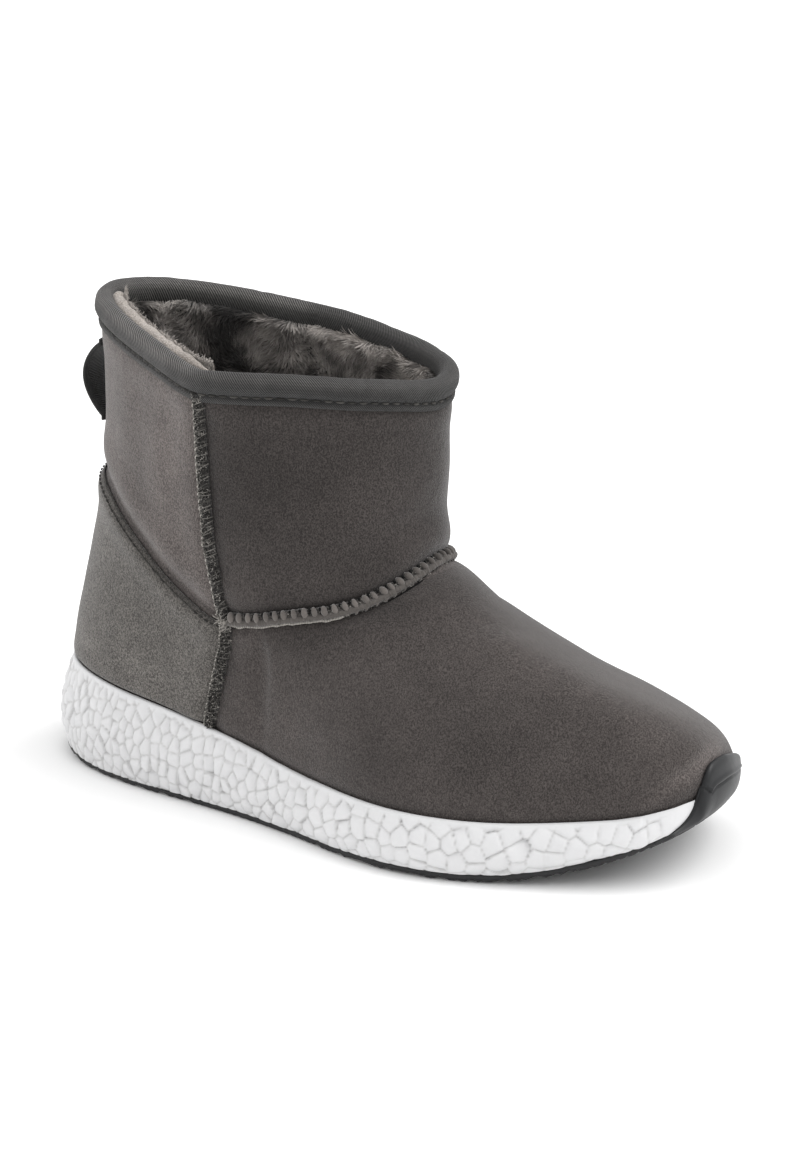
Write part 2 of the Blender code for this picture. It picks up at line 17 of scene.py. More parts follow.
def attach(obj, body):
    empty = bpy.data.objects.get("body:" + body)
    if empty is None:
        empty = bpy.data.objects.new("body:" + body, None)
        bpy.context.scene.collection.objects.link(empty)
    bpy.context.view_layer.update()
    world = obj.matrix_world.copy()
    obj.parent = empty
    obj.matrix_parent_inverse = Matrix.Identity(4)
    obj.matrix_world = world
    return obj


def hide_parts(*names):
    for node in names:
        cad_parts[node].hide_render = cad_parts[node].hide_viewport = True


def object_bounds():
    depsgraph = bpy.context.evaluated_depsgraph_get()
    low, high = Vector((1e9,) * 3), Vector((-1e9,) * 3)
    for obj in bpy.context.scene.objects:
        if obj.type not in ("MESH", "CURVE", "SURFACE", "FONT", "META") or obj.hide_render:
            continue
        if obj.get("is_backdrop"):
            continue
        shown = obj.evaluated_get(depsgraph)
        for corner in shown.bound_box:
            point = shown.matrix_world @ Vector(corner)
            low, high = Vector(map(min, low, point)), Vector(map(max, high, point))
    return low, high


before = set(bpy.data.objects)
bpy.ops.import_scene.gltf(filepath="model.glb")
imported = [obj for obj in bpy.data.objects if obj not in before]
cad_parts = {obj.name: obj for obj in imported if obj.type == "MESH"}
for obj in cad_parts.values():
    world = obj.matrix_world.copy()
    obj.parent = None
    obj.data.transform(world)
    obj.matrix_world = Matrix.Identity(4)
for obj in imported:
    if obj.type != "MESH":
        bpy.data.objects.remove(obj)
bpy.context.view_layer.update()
print("nodes:", ", ".join(sorted(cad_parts)))

# %% [markdown]
# ## The ribs
# A boot maker cuts the upper over a last. Here the last is a table of ribs. Each row gives one
# rib's foot point, the pull of its two ends, its place on the waist seam and its place on the
# collar, as shares of the boot's own sizes. A smooth closed curve through each column then gives
# any rib between the rows, and two numbers name any place on the upper: around, a share of the
# way round from the middle of the heel, and up, 0 at the foot, 1 at the waist, 2 at the collar.

# %% Sizes and ribs
MM = 0.001
LENGTH = 270 * MM
BALL_WIDTH = 100 * MM
INSTEP_HEIGHT = 97 * MM
COLLAR_HEIGHT = 178 * MM
WALL = 3.0 * MM
GAP = 0.3 * MM
RIM_WALL = 1.6 * MM
HEEL_RUBBER = 2.0 * MM
BALL_RUBBER = 3.0 * MM
TOE_RUBBER = 1.4 * MM
TOE_SPRING = 23.8 * MM
HEEL_BEVEL = 5 * MM
BUMPER_THICKNESS = 1.5 * MM
BUMPER_LAP = 6 * MM
BUMPER_GAP = 0.5 * MM
SIDE_SEAM = 0.20
TOE_TIP = 0.530
BUMPER_REACH = 0.070
CORNER = 2.0 * MM          # how far the shaft's corner stands out along each side seam
CORNER_SPREAD = 0.055      # its reach, as a share of the way round
STAND = np.array([-134.724, 1.757, 0.0]) * MM   # from the ribs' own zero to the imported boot's

RIB_COLUMNS = ("round", "foot_along", "foot_across", "lean", "rise",
               "waist_along", "waist_across", "waist_up", "slope", "reach",
               "collar_along", "collar_across", "collar_up")
RIBS = (
    (0.00, 0.028, 0.00, 14, 0.093, 0.062, 0.01, 1.17, 88, 0.093, 0.053, 0.04, 1.002),
    (0.06, 0.050, -0.21, 14, 0.093, 0.090, -0.17, 1.14, 88, 0.093, 0.089, -0.13, 0.995),
    (0.12, 0.145, -0.32, 14, 0.085, 0.180, -0.32, 0.99, 88, 0.081, 0.181, -0.28, 0.974),
    (0.20, 0.296, -0.355, 12, 0.074, 0.326, -0.39, 0.77, 86, 0.059, 0.299, -0.41, 0.955),
    (0.28, 0.474, -0.425, 14, 0.089, 0.437, -0.37, 0.825, 66, 0.067, 0.402, -0.38, 0.955),
    (0.36, 0.671, -0.482, 14, 0.126, 0.518, -0.26, 0.90, 46, 0.107, 0.489, -0.24, 0.944),
    (0.43, 0.880, -0.255, 14, 0.141, 0.559, -0.10, 0.97, 34, 0.170, 0.540, -0.07, 0.927),
    (0.50, 0.983, 0.00, 16.5, 0.1785, 0.570, 0.05, 1.00, 38, 0.258, 0.562, 0.12, 0.911),
    (0.57, 0.938, 0.415, 18.5, 0.103, 0.559, 0.18, 0.967, 39, 0.234, 0.542, 0.27, 0.919),
    (0.64, 0.765, 0.440, 14, 0.112, 0.522, 0.30, 0.914, 43, 0.081, 0.483, 0.38, 0.922),
    (0.72, 0.541, 0.37, 14, 0.089, 0.444, 0.38, 0.825, 66, 0.067, 0.391, 0.44, 0.938),
    (0.80, 0.333, 0.32, 12, 0.074, 0.333, 0.40, 0.77, 86, 0.059, 0.290, 0.425, 0.953),
    (0.88, 0.150, 0.32, 14, 0.085, 0.180, 0.34, 0.99, 88, 0.081, 0.172, 0.36, 0.974),
    (0.94, 0.050, 0.21, 14, 0.093, 0.090, 0.19, 1.14, 88, 0.093, 0.092, 0.235, 0.992),
)
SIDE_COLUMNS = ("round", "edge", "bulge")
SIDE = (
    (0.00, 6.5, 8.5), (0.12, 6.6, 8.2), (0.28, 6.0, 8.0), (0.38, 4.5, 7.0), (0.46, 2.8, 6.8),
    (0.54, 2.0, 3.0), (0.62, 4.5, 7.0), (0.72, 6.0, 8.0), (0.88, 6.0, 8.0),
)
HEIGHT_COLUMNS = ("along", "bed", "rim")
HEIGHTS = (
    (0.00, 25, 40.0), (0.11, 24, 37.0), (0.22, 21, 34.5), (0.33, 17, 30.0), (0.45, 14, 24.2),
    (0.60, 13, 23.4), (0.75, 13.5, 22.6), (0.85, 16.5, 24.4), (0.93, 21, 26.8), (1.00, 28, 34.4),
)


def closed_spline(table, names, wanted, scale):
    """A smooth closed curve through columns of a table whose first column is a share of a turn."""
    knots = np.array([row[0] for row in table])
    values = np.array([[row[names.index(n)] for n in wanted] for row in table]) * np.array(scale)
    count = len(knots)
    steps = np.diff(np.append(knots, 1.0 + knots[0]))
    matrix = np.zeros((count, count))
    right_side = np.zeros(values.shape)
    for i in range(count):
        before, after = (i - 1) % count, (i + 1) % count
        matrix[i, before] += steps[before]
        matrix[i, i] += 2 * (steps[before] + steps[i])
        matrix[i, after] += steps[i]
        right_side[i] = 6 * ((values[after] - values[i]) / steps[i]
                             - (values[i] - values[before]) / steps[before])
    bends = np.linalg.solve(matrix, right_side)

    def curve(at):
        at = np.atleast_1d(np.asarray(at, float)) % 1.0
        i = np.searchsorted(knots, at, side="right") - 1
        after = (i + 1) % count
        step = steps[i][:, None]
        t = ((at - knots[i]) / steps[i])[:, None]
        straight = (1 - t) * values[i] + t * values[after]
        bent = ((1 - t) ** 3 - (1 - t)) * bends[i] + (t ** 3 - t) * bends[after]
        return straight + step * step / 6 * bent

    return curve


def rib_curve(*wanted, scale):
    return closed_spline(RIBS, RIB_COLUMNS, wanted, scale)


foot_line = rib_curve("foot_along", "foot_across", scale=(LENGTH, BALL_WIDTH))
foot_pull = rib_curve("lean", "rise", scale=(math.radians(1), LENGTH))
waist_line = rib_curve("waist_along", "waist_across", "waist_up",
                       scale=(LENGTH, BALL_WIDTH, INSTEP_HEIGHT))
waist_pull = rib_curve("slope", "reach", scale=(math.radians(1), LENGTH))
collar_line = rib_curve("collar_along", "collar_across", "collar_up",
                        scale=(LENGTH, BALL_WIDTH, COLLAR_HEIGHT))
side_reach = closed_spline(SIDE, SIDE_COLUMNS, ("edge", "bulge"), (MM, MM))


def smooth_height(name, x):
    along = [row[0] * LENGTH for row in HEIGHTS]
    height = [row[HEIGHT_COLUMNS.index(name)] * MM for row in HEIGHTS]
    ease = 0.03 * LENGTH
    return sum(np.interp(x + shift * ease, along, height) for shift in (-1, 0, 1)) / 3


def ground_height(x):
    spring_start, bevel_end = 0.72 * LENGTH, 0.11 * LENGTH
    spring = np.clip((x - spring_start) / (LENGTH - spring_start), 0, None)
    bevel = np.clip((bevel_end - x) / bevel_end, 0, None)
    return TOE_SPRING * spring ** 2 + HEEL_BEVEL * bevel ** 2


def rubber_top(x):
    """Upper face of the outsole."""
    share = np.clip((x / LENGTH - 0.42) / 0.20, 0, 1)
    toe = np.clip((x / LENGTH - 0.86) / 0.14, 0, 1)
    thickness = HEEL_RUBBER + (BALL_RUBBER - HEEL_RUBBER) * share
    return ground_height(x) + thickness - (BALL_RUBBER - TOE_RUBBER) * toe


# %% Places on the upper
def unit(vectors):
    return vectors / np.linalg.norm(vectors, axis=-1, keepdims=True)


def alike(*values):
    """The values as arrays of one shape."""
    return np.broadcast_arrays(*(np.asarray(v, float) for v in values))


def outward(around):
    """Level direction away from the foot, square to the foot line."""
    small = 0.002
    run = foot_line(around + small) - foot_line(around - small)
    return unit(np.column_stack([run[:, 1], -run[:, 0], np.zeros(len(run))]))


SEAM_COURSE = (      # height between foot, waist and collar, share round
    (0.0, 0.2010), (0.26, 0.2025), (0.48, 0.2045), (0.70, 0.2060), (0.84, 0.2075),
    (1.0, 0.2070), (1.12, 0.2035), (1.31, 0.2003), (1.6, 0.2020), (2.0, 0.2070),
)
WAIST_COURSE = (     # share round from the heel, height added
    (0.19, 0.030), (0.21, 0.035), (0.23, 0.042), (0.26, 0.036), (0.2875, 0.022), (0.32, 0.008),
    (0.36, 0.0),
)


def side_seam(up):
    """Where the outer side seam runs; the inner one mirrors it."""
    return np.interp(up, *np.transpose(SEAM_COURSE))


def waist_seam(around):
    """How high the instep seam lies: near 1, a little higher where it meets the side seams."""
    return 1 + np.interp(0.5 - np.abs(around % 1 - 0.5), *np.transpose(WAIST_COURSE))


def face(around, up):
    """Outer face of the upper, for arrays of any one shape."""
    around, up = alike(around, up)
    shape, around, up = around.shape, around.ravel(), up.ravel()
    plan = foot_line(around)
    foot = np.column_stack([plan, smooth_height("bed", plan[:, 0])])
    waist, collar = waist_line(around), collar_line(around)
    lean, rise = foot_pull(around).T[:, :, None]
    slope, reach = waist_pull(around).T[:, :, None]
    rising = outward(around) * np.sin(lean) + np.array([0, 0, 1]) * np.cos(lean)
    level = waist - foot
    level[:, 2] = 0
    arriving = unit(level) * np.cos(slope) + np.array([0, 0, 1]) * np.sin(slope)
    t = np.clip(up, None, 1)[:, None]
    near, far = foot + rising * rise, waist - arriving * reach
    lower = (1 - t) ** 3 * foot + 3 * (1 - t) ** 2 * t * near + 3 * (1 - t) * t ** 2 * far
    lower = lower + t ** 3 * waist
    upper = waist + (collar - waist) * np.clip(up - 1, 0, None)[:, None]
    off_seam = np.abs(np.abs(around % 1 - 0.5) - (0.5 - side_seam(up)))
    corner = CORNER * np.exp(-off_seam / CORNER_SPREAD) * np.clip((up - 0.85) / 0.5, 0, 1) ** 1.5
    spot = np.where((up > 1)[:, None], upper, lower) + outward(around) * corner[:, None]
    return spot.reshape(*shape, 3)


def rib_direction(around, up, side):
    small = 0.01
    return unit((face(around, up + side * small) - face(around, up)) * side)


def face_normal(around, up):
    """Outward direction of the upper's outer face, shared evenly where it folds."""
    around, up = alike(around, up)
    small = 0.003
    run = unit(face(around + small, up) - face(around - small, up))
    above = rib_direction(around, up, 1)
    rib = unit(rib_direction(around, up, -1) + above)
    rib = np.where((up < 0.01)[..., None], above, rib)
    return unit(np.cross(run, rib))


def lifted(around, up, lift):
    around, up, lift = alike(around, up, lift)
    return face(around, up) + face_normal(around, up) * lift[..., None]


def bisect(is_below, count, steps=24):
    """Shares between 0 and 1 where a rising test stops being true."""
    low, high = np.zeros(count), np.ones(count)
    for _ in range(steps):
        middle = (low + high) / 2
        below = is_below(middle)
        low, high = np.where(below, middle, low), np.where(below, high, middle)
    return high


def up_at_height(around, height):
    return bisect(lambda up: face(around, up)[:, 2] < height, len(around))


def up_below_collar(around, drop):
    """Where the shaft's rib is a distance below the collar."""
    around = np.asarray(around, float)
    length = np.linalg.norm(collar_line(around.ravel()) - waist_line(around.ravel()), axis=1)
    return 2 - drop / length.reshape(around.shape)


def rim_up(around):
    return up_at_height(around, smooth_height("rim", foot_line(around)[:, 0]))


check = lifted(np.linspace(0, 1, 69)[:-1], 2.0, 0.0) + STAND

# %% [markdown]
# ## A few tools
# Each soft skin starts as Blender's own flat grid, which is then bent over the boot: a vertex in
# row r and column c goes where the ribs say. Edges that meet are merged, so a skin that goes
# right round closes on itself. Thread, stitches and fur are hundreds of thin strands, and are
# built together as one joined mesh, because one object for each would choke the scene.

# %% Grids, strands and finished pieces
LOCK_SHADES = [0.45, 0.95, 0.45, 0.95, 1.2]   # a lock is dark at its root and pale at its tip
made_pieces = []


def add_grid(bm, points, mark=None):
    """Blender's grid, its vertices moved to points[row, column]; mark is kept as an attribute."""
    rows, columns = points.shape[:2]
    bm.loops.layers.uv.verify()
    kept = bm.verts.layers.float.get("mark") or bm.verts.layers.float.new("mark")
    grid = bmesh.ops.create_grid(bm, x_segments=columns - 1, y_segments=rows - 1, size=0.5,
                                 calc_uvs=True)
    marks = np.broadcast_to(1.0 if mark is None else mark, (rows, columns)).ravel()
    for vertex, point, value in zip(grid["verts"], (points + STAND).reshape(-1, 3), marks):
        vertex.co = point
        vertex[kept] = value


def add_piece(mesh, name, material, node=None):
    """An object on the boot's body, standing for a solid if one is named."""
    mesh.name = name
    mesh.shade_smooth()
    mesh.materials.append(material)
    piece = bpy.data.objects.new(name, mesh)
    bpy.context.collection.objects.link(piece)
    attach(piece, "root")
    if node:
        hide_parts(node)
    triangles = sum(len(p.vertices) - 2 for p in mesh.polygons)
    made_pieces.append(triangles)
    print(f"{name}: {triangles} triangles")
    return piece


def skin(name, grids, material, node=None, mark=None):
    """One closed piece from grids whose edges meet. mark belongs to the first of them."""
    bm = bmesh.new()
    for points in grids:
        add_grid(bm, points, mark if points is grids[0] else None)
    bmesh.ops.remove_doubles(bm, verts=bm.verts, dist=0.004 * MM)
    bmesh.ops.dissolve_degenerate(bm, edges=bm.edges, dist=0.001 * MM)
    bmesh.ops.recalc_face_normals(bm, faces=bm.faces)
    mesh = bpy.data.meshes.new(name)
    bm.to_mesh(mesh)
    bm.free()
    return add_piece(mesh, name, material, node)


def tone_mesh(name, points, faces, tones):
    """A mesh from points, each of which carries how pale it is."""
    mesh = bpy.data.meshes.new(name)
    mesh.from_pydata((points + STAND).reshape(-1, 3).tolist(), [], faces)
    layer = mesh.attributes.new("tone", "FLOAT", "POINT")
    layer.data.foreach_set("value", tones.astype(np.float32).ravel())
    return mesh


def strands(name, paths, radius, facing, tone, material, sides=5):
    """Closed tubes along paths[strand, point], joined in one mesh, with a tone for each."""
    count, steps = paths.shape[:2]
    along = unit(np.gradient(paths, axis=1))
    aside = unit(np.cross(along, facing))
    over = np.cross(aside, along)
    turn = np.arange(sides) * 2 * math.pi / sides
    ring = (aside[:, :, None] * np.cos(turn)[:, None] + over[:, :, None] * np.sin(turn)[:, None])
    points = paths[:, :, None] + ring * np.broadcast_to(radius, (count, steps))[..., None, None]
    index = np.arange(count * steps * sides).reshape(count, steps, sides)
    beside = np.roll(index, -1, axis=2)
    quads = np.stack([index[:, :-1], index[:, 1:], beside[:, 1:], beside[:, :-1]], axis=-1)
    ends = np.concatenate([index[:, 0], index[:, -1, ::-1]])
    faces = quads.reshape(-1, 4).tolist() + ends.tolist()
    spread = np.broadcast_to(np.asarray(tone, float)[:, None, None], (count, steps, sides))
    add_piece(tone_mesh(name, points, faces, spread), name, material)


def locks(name, roots, facing, flow, length, width, tone, material, seed):
    """Flat tapering locks that rise along facing and lie over along flow, joined in one mesh."""
    draw = np.random.default_rng(seed)
    count = len(roots)
    jitter = draw.normal(0, 0.16, (count, 3))
    size = (length * draw.uniform(0.7, 1.25, count))[:, None]
    path = [roots]
    for share, stand in ((0.55, 1.0), (0.45, 0.45)):
        direction = unit(facing * stand + flow * (1.15 - stand * 0.5) + jitter)
        path.append(path[-1] + direction * size * share)
    path = np.stack(path, axis=1)
    aside = unit(np.cross(path[:, 2] - path[:, 0], facing + draw.normal(0, 0.35, (count, 3))))
    half = (width * draw.uniform(0.7, 1.3, count))[:, None, None] / 2
    shape = np.array([1.0, 0.85])[None, :, None]
    left = path[:, :2] - aside[:, None] * half * shape
    right = path[:, :2] + aside[:, None] * half * shape
    points = np.concatenate([left, right, path[:, 2:]], axis=1)
    index = np.arange(count)[:, None] * 5
    faces = (index + [0, 2, 3, 1]).tolist() + (index + [1, 3, 4]).tolist()
    shades = np.clip(tone[:, None] * LOCK_SHADES, 0, 1)
    add_piece(tone_mesh(name, points, faces, shades), name, material)


def sample_noise(points, size):
    """Soft noise between about -1 and 1 at points, with lumps of a size."""
    flat = points.reshape(-1, 3) / size
    return np.array([noise.noise(Vector(p)) for p in flat]).reshape(points.shape[:-1])


def closed(rows):
    """Rows whose last column is set equal to the first, so that a skin closes on itself."""
    rows[:, -1] = rows[:, 0]
    return rows


def end_caps(rows, middles=None):
    """Two grids that close the open ends of a tube of rows, each drawn in to its middle."""
    caps = []
    for end in (0, -1):
        middle = rows[:-1, end].mean(axis=0) if middles is None else middles[end]
        caps.append(np.stack([rows[:, end], np.broadcast_to(middle, rows[:, end].shape)]))
    return caps


def through(start, middle, end, share):
    """A parabola that passes start at 0, middle at a half and end at 1."""
    return (start * (2 * share - 1) * (share - 1) + middle * 4 * share * (1 - share)
            + end * share * (2 * share - 1))


def ease(value):
    value = np.clip(value, 0, 1)
    return value * value * (3 - 2 * value)


def bell(distance, width):
    return np.exp(-(distance / width) ** 2)

# %% [markdown]
# ## Finishes
# Cloth, foam and rubber are told apart by their small relief and by how evenly they take light.
# Three effects serve several finishes, so each is a node group, built once: a cloudy unevenness,
# the nap of suede, and a twill weave that follows the unrolled length of a tape. Each material
# keeps its own shader and gives the groups its own values.

# %% Node helpers and shared groups
def add_node(tree, kind, inputs=None, **settings):
    """A node with its settings, and its inputs as values or as sockets to link."""
    node = tree.nodes.new("ShaderNode" + kind)
    for key, value in settings.items():
        setattr(node, key, value)
    for key, value in (inputs or {}).items():
        if isinstance(value, bpy.types.NodeSocket):
            tree.links.new(value, node.inputs[key])
        else:
            node.inputs[key].default_value = value
    return node


def maths(tree, operation, *values, clamp=False):
    node = add_node(tree, "Math", dict(enumerate(values)), operation=operation, use_clamp=clamp)
    return node.outputs[0]


def start_group(name, inputs, outputs):
    """A shader group with named inputs (a default number, or None for a vector) and outputs."""
    group = bpy.data.node_groups.new(name, "ShaderNodeTree")
    for title, default in inputs.items():
        kind = "NodeSocketVector" if default is None else "NodeSocketFloat"
        socket = group.interface.new_socket(title, in_out="INPUT", socket_type=kind)
        if default is not None:
            socket.default_value = default
    for title in outputs:
        group.interface.new_socket(title, in_out="OUTPUT", socket_type="NodeSocketFloat")
    source = group.nodes.new("NodeGroupInput").outputs
    target = group.nodes.new("NodeGroupOutput").inputs
    return group, source, target


def noise_at(tree, vector, scale, detail=2.0, roughness=0.5):
    node = add_node(tree, "TexNoise", {"Vector": vector, "Scale": scale, "Detail": detail,
                                       "Roughness": roughness})
    return node.outputs["Fac"]


def build_clouds():
    """Broad and middling unevenness, as a factor round 1."""
    group, source, target = start_group(
        "clouds", {"Vector": None, "Scale": 40.0, "Amount": 0.2}, ["Factor"])
    broad = noise_at(group, source["Vector"], source["Scale"], 3.0, 0.55)
    middling = noise_at(group, source["Vector"], maths(group, "MULTIPLY", source["Scale"], 5.3))
    both = maths(group, "ADD", maths(group, "MULTIPLY", broad, 0.7),
                 maths(group, "MULTIPLY", middling, 0.3))
    centred = maths(group, "SUBTRACT", both, 0.5)
    swing = maths(group, "MULTIPLY", centred, maths(group, "MULTIPLY", source["Amount"], 4.0))
    group.links.new(maths(group, "ADD", swing, 1.0), target["Factor"])
    return group


def build_nap():
    """The nap of suede: short matted fibres that curl this way and that, over a fine grain."""
    group, source, target = start_group(
        "nap", {"Vector": None, "Fibre": 2100.0}, ["Height", "Tone"])
    sway = add_node(group, "TexNoise", {"Vector": source["Vector"], "Scale": 140.0})
    bend = add_node(group, "VectorMath", {0: sway.outputs["Color"], "Scale": 0.0035},
                    operation="SCALE")
    place = add_node(group, "VectorMath", {0: source["Vector"], 1: bend.outputs[0]})
    stretch = add_node(group, "VectorMath", {0: place.outputs[0], 1: (1.0, 0.8, 0.62)},
                       operation="MULTIPLY")
    fibre = noise_at(group, stretch.outputs[0], source["Fibre"], 2.0, 0.62)
    fine = maths(group, "MULTIPLY", source["Fibre"], 1.25)
    grain = add_node(group, "TexVoronoi", {"Vector": place.outputs[0], "Scale": fine},
                     feature="SMOOTH_F1")
    grain.inputs["Smoothness"].default_value = 0.5
    height = maths(group, "SUBTRACT", fibre, maths(group, "MULTIPLY", grain.outputs["Distance"],
                                                   0.30))
    group.links.new(height, target["Height"])
    tone = maths(group, "MULTIPLY_ADD", maths(group, "SUBTRACT", height, 0.37), 3.4, 0.5)
    group.links.new(maths(group, "MINIMUM", maths(group, "MAXIMUM", tone, 0.0), 1.0),
                    target["Tone"])
    return group


def build_weave():
    """A twill over the piece's own UV map: diagonal cords, each made of short floats."""
    group, source, target = start_group(
        "weave", {"Vector": None, "Length": 0.36, "Width": 0.02, "Pitch": 0.0007}, ["Height"])
    split = add_node(group, "SeparateXYZ", {0: source["Vector"]})
    along = maths(group, "MULTIPLY", split.outputs[0], source["Length"])
    over = maths(group, "MULTIPLY", split.outputs[1], source["Width"])
    slanted = maths(group, "ADD", along, over)
    turn = maths(group, "DIVIDE", maths(group, "MULTIPLY", slanted, 2 * math.pi),
                 source["Pitch"])
    cord = maths(group, "MULTIPLY_ADD", maths(group, "SINE", turn), 0.5, 0.5)
    cross = maths(group, "DIVIDE", maths(group, "MULTIPLY", over, 2 * math.pi), source["Pitch"])
    floats = maths(group, "MULTIPLY_ADD", maths(group, "SINE", cross), 0.08, 0.92)
    group.links.new(maths(group, "MULTIPLY", cord, floats), target["Height"])
    return group


GROUPS = {"clouds": build_clouds(), "nap": build_nap(), "weave": build_weave()}
print("groups:", ", ".join(GROUPS))


# %% Materials
def new_material(name, **constants):
    """A material with its shader's constants set on the shader itself."""
    material = bpy.data.materials.new(name)
    material.use_nodes = True
    shader = material.node_tree.nodes["Principled BSDF"]
    for title, value in constants.items():
        shader.inputs[title.replace("_", " ")].default_value = value
    return material, material.node_tree, shader


def use_group(tree, name, vector, **values):
    node = add_node(tree, "Group", node_tree=GROUPS[name])
    tree.links.new(vector, node.inputs["Vector"])
    for title, value in values.items():
        node.inputs[title].default_value = value
    return node.outputs


def place_on(tree, output="Object"):
    return add_node(tree, "TexCoord").outputs[output]


def blend_colours(tree, share, first, second):
    node = add_node(tree, "Mix", data_type="RGBA")
    node.inputs["Factor"].default_value = 0.5
    for socket, value in ((node.inputs["Factor"], share), (node.inputs[6], first),
                          (node.inputs[7], second)):
        if isinstance(value, bpy.types.NodeSocket):
            tree.links.new(value, socket)
        else:
            socket.default_value = value if isinstance(value, float) else (*value, 1.0)
    return node.outputs[2]


def paint(tree, shader, colour, factor):
    """The shader's colour: one made lighter or darker by a factor."""
    node = add_node(tree, "VectorMath", {0: colour, "Scale": factor}, operation="SCALE")
    tree.links.new(node.outputs[0], shader.inputs["Base Color"])


def carried(tree, name):
    """A value that the mesh itself carries."""
    return add_node(tree, "Attribute", attribute_name=name).outputs["Fac"]


def relief(tree, shader, height, depth, strength=1.0):
    bump = add_node(tree, "Bump", {"Height": height, "Distance": depth, "Strength": strength})
    tree.links.new(bump.outputs[0], shader.inputs["Normal"])


def make_suede(name, low, high, patchy, sheen=0.35):
    """The mark attribute carries how light the cloth is painted, painted light and shade included;
    the nap itself comes from its group.
    """
    material, tree, shader = new_material(
        name, Roughness=0.95, Sheen_Weight=sheen, Sheen_Roughness=0.4, Specular_IOR_Level=0.25)
    place = place_on(tree)
    nap = use_group(tree, "nap", place)
    clouds = use_group(tree, "clouds", place, Scale=38.0, Amount=patchy)
    light = maths(tree, "MULTIPLY", clouds["Factor"], carried(tree, "mark"))
    paint(tree, shader, blend_colours(tree, nap["Tone"], low, high), light)
    relief(tree, shader, nap["Height"], 0.45 * MM, 0.7)
    return material


def make_foam():
    material, tree, shader = new_material("foam", Roughness=0.55, Specular_IOR_Level=0.35)
    place = place_on(tree)
    clouds = use_group(tree, "clouds", place, Scale=60.0, Amount=0.03)
    # the mark is the groove mask: the grooves are painted darker, a painted shade in them
    colour = blend_colours(tree, carried(tree, "mark"), (0.68, 0.68, 0.686),
                           (0.56, 0.556, 0.552))
    paint(tree, shader, colour, clouds["Factor"])
    relief(tree, shader, noise_at(tree, place, 1400.0), 0.15 * MM, 0.4)
    return material


def make_rubber(name, colour, roughness):
    material, tree, shader = new_material(name, Specular_IOR_Level=0.4)
    place = place_on(tree)
    clouds = use_group(tree, "clouds", place, Scale=70.0, Amount=0.18)
    paint(tree, shader, colour, clouds["Factor"])
    rough = maths(tree, "MULTIPLY", clouds["Factor"], roughness, clamp=True)
    tree.links.new(rough, shader.inputs["Roughness"])
    relief(tree, shader, noise_at(tree, place, 2200.0), 0.08 * MM, 0.5)
    return material


def make_tape(name, low, high, length, width, pitch):
    material, tree, shader = new_material(name, Roughness=0.8, Sheen_Weight=0.15,
                                          Specular_IOR_Level=0.3)
    weave = use_group(tree, "weave", place_on(tree, "UV"), Length=length, Width=width,
                      Pitch=pitch)
    clouds = use_group(tree, "clouds", place_on(tree), Scale=70.0, Amount=0.12)
    # the mark carries the painted highlights and shade of the tape
    light = maths(tree, "MULTIPLY", clouds["Factor"], carried(tree, "mark"))
    paint(tree, shader, blend_colours(tree, weave["Height"], low, high), light)
    relief(tree, shader, weave["Height"], 0.5 * MM, 1.0)
    return material


def make_yarn(name, low, high, sheen=0.3, speckle=900.0, tone="tone"):
    """Fur, thread and pile: each strand carries its own tone, from 0 dark to 1 pale."""
    material, tree, shader = new_material(name, Roughness=0.9, Sheen_Weight=sheen,
                                          Specular_IOR_Level=0.2)
    fleck = maths(tree, "MULTIPLY_ADD", noise_at(tree, place_on(tree), speckle, 1.0), 0.5, 0.75)
    paint(tree, shader, blend_colours(tree, carried(tree, tone), low, high), fleck)
    return material


suede = make_suede("suede", (0.042, 0.036, 0.034), (0.114, 0.099, 0.093), 0.16)
counter_suede = make_suede("suede_counter", (0.050, 0.0465, 0.043), (0.178, 0.165, 0.152), 0.26)
foam = make_foam()
rubber = make_rubber("rubber", (0.012, 0.012, 0.013), 0.5)
bumper_rubber = make_rubber("rubber_bumper", (0.0095, 0.0101, 0.0112), 0.46)
tape = make_tape("tape", (0.001, 0.001, 0.001), (0.084, 0.080, 0.077), 0.44, 0.034, 1.12 * MM)
webbing = make_tape("webbing", (0.004, 0.004, 0.004), (0.020, 0.019, 0.018), 0.05, 0.036, 1.1 * MM)
pile_ground = make_yarn("pile_ground", (0.010, 0.0097, 0.0095), (0.075, 0.070, 0.067),
                        tone="mark")
pile = make_yarn("pile", (0.006, 0.0059, 0.0059), (0.60, 0.552, 0.515))
thread = make_yarn("thread", (0.004, 0.004, 0.004), (0.46, 0.435, 0.40), sheen=0.05,
                   speckle=2500.0)
cord = make_yarn("cord", (0.012, 0.011, 0.010), (0.50, 0.445, 0.41), speckle=1800.0)
fleece = make_suede("fleece_edge", (0.24, 0.213, 0.190), (0.50, 0.452, 0.415), 0.25)
print("materials:", len(bpy.data.materials))

# %% [markdown]
# ## The suede upper
# The upper is one soft wall. Suede with pile behind it never lies quite flat: it is pulled in
# along every seam, swells between them, and folds where the ankle bends. So the skin is the
# ribs' own face, lifted or lowered by a relief made of three things: the pull of the seams, a
# short table of creases, and a little slow unevenness.

# %% The relief of the suede
SEAM_PULL = 0.9 * MM
SEAM_SPREAD = 4.5 * MM
WAIST_SWELL = 1.1 * MM
RIM_SWELL = 0.35 * MM
WAVER = 0.45 * MM
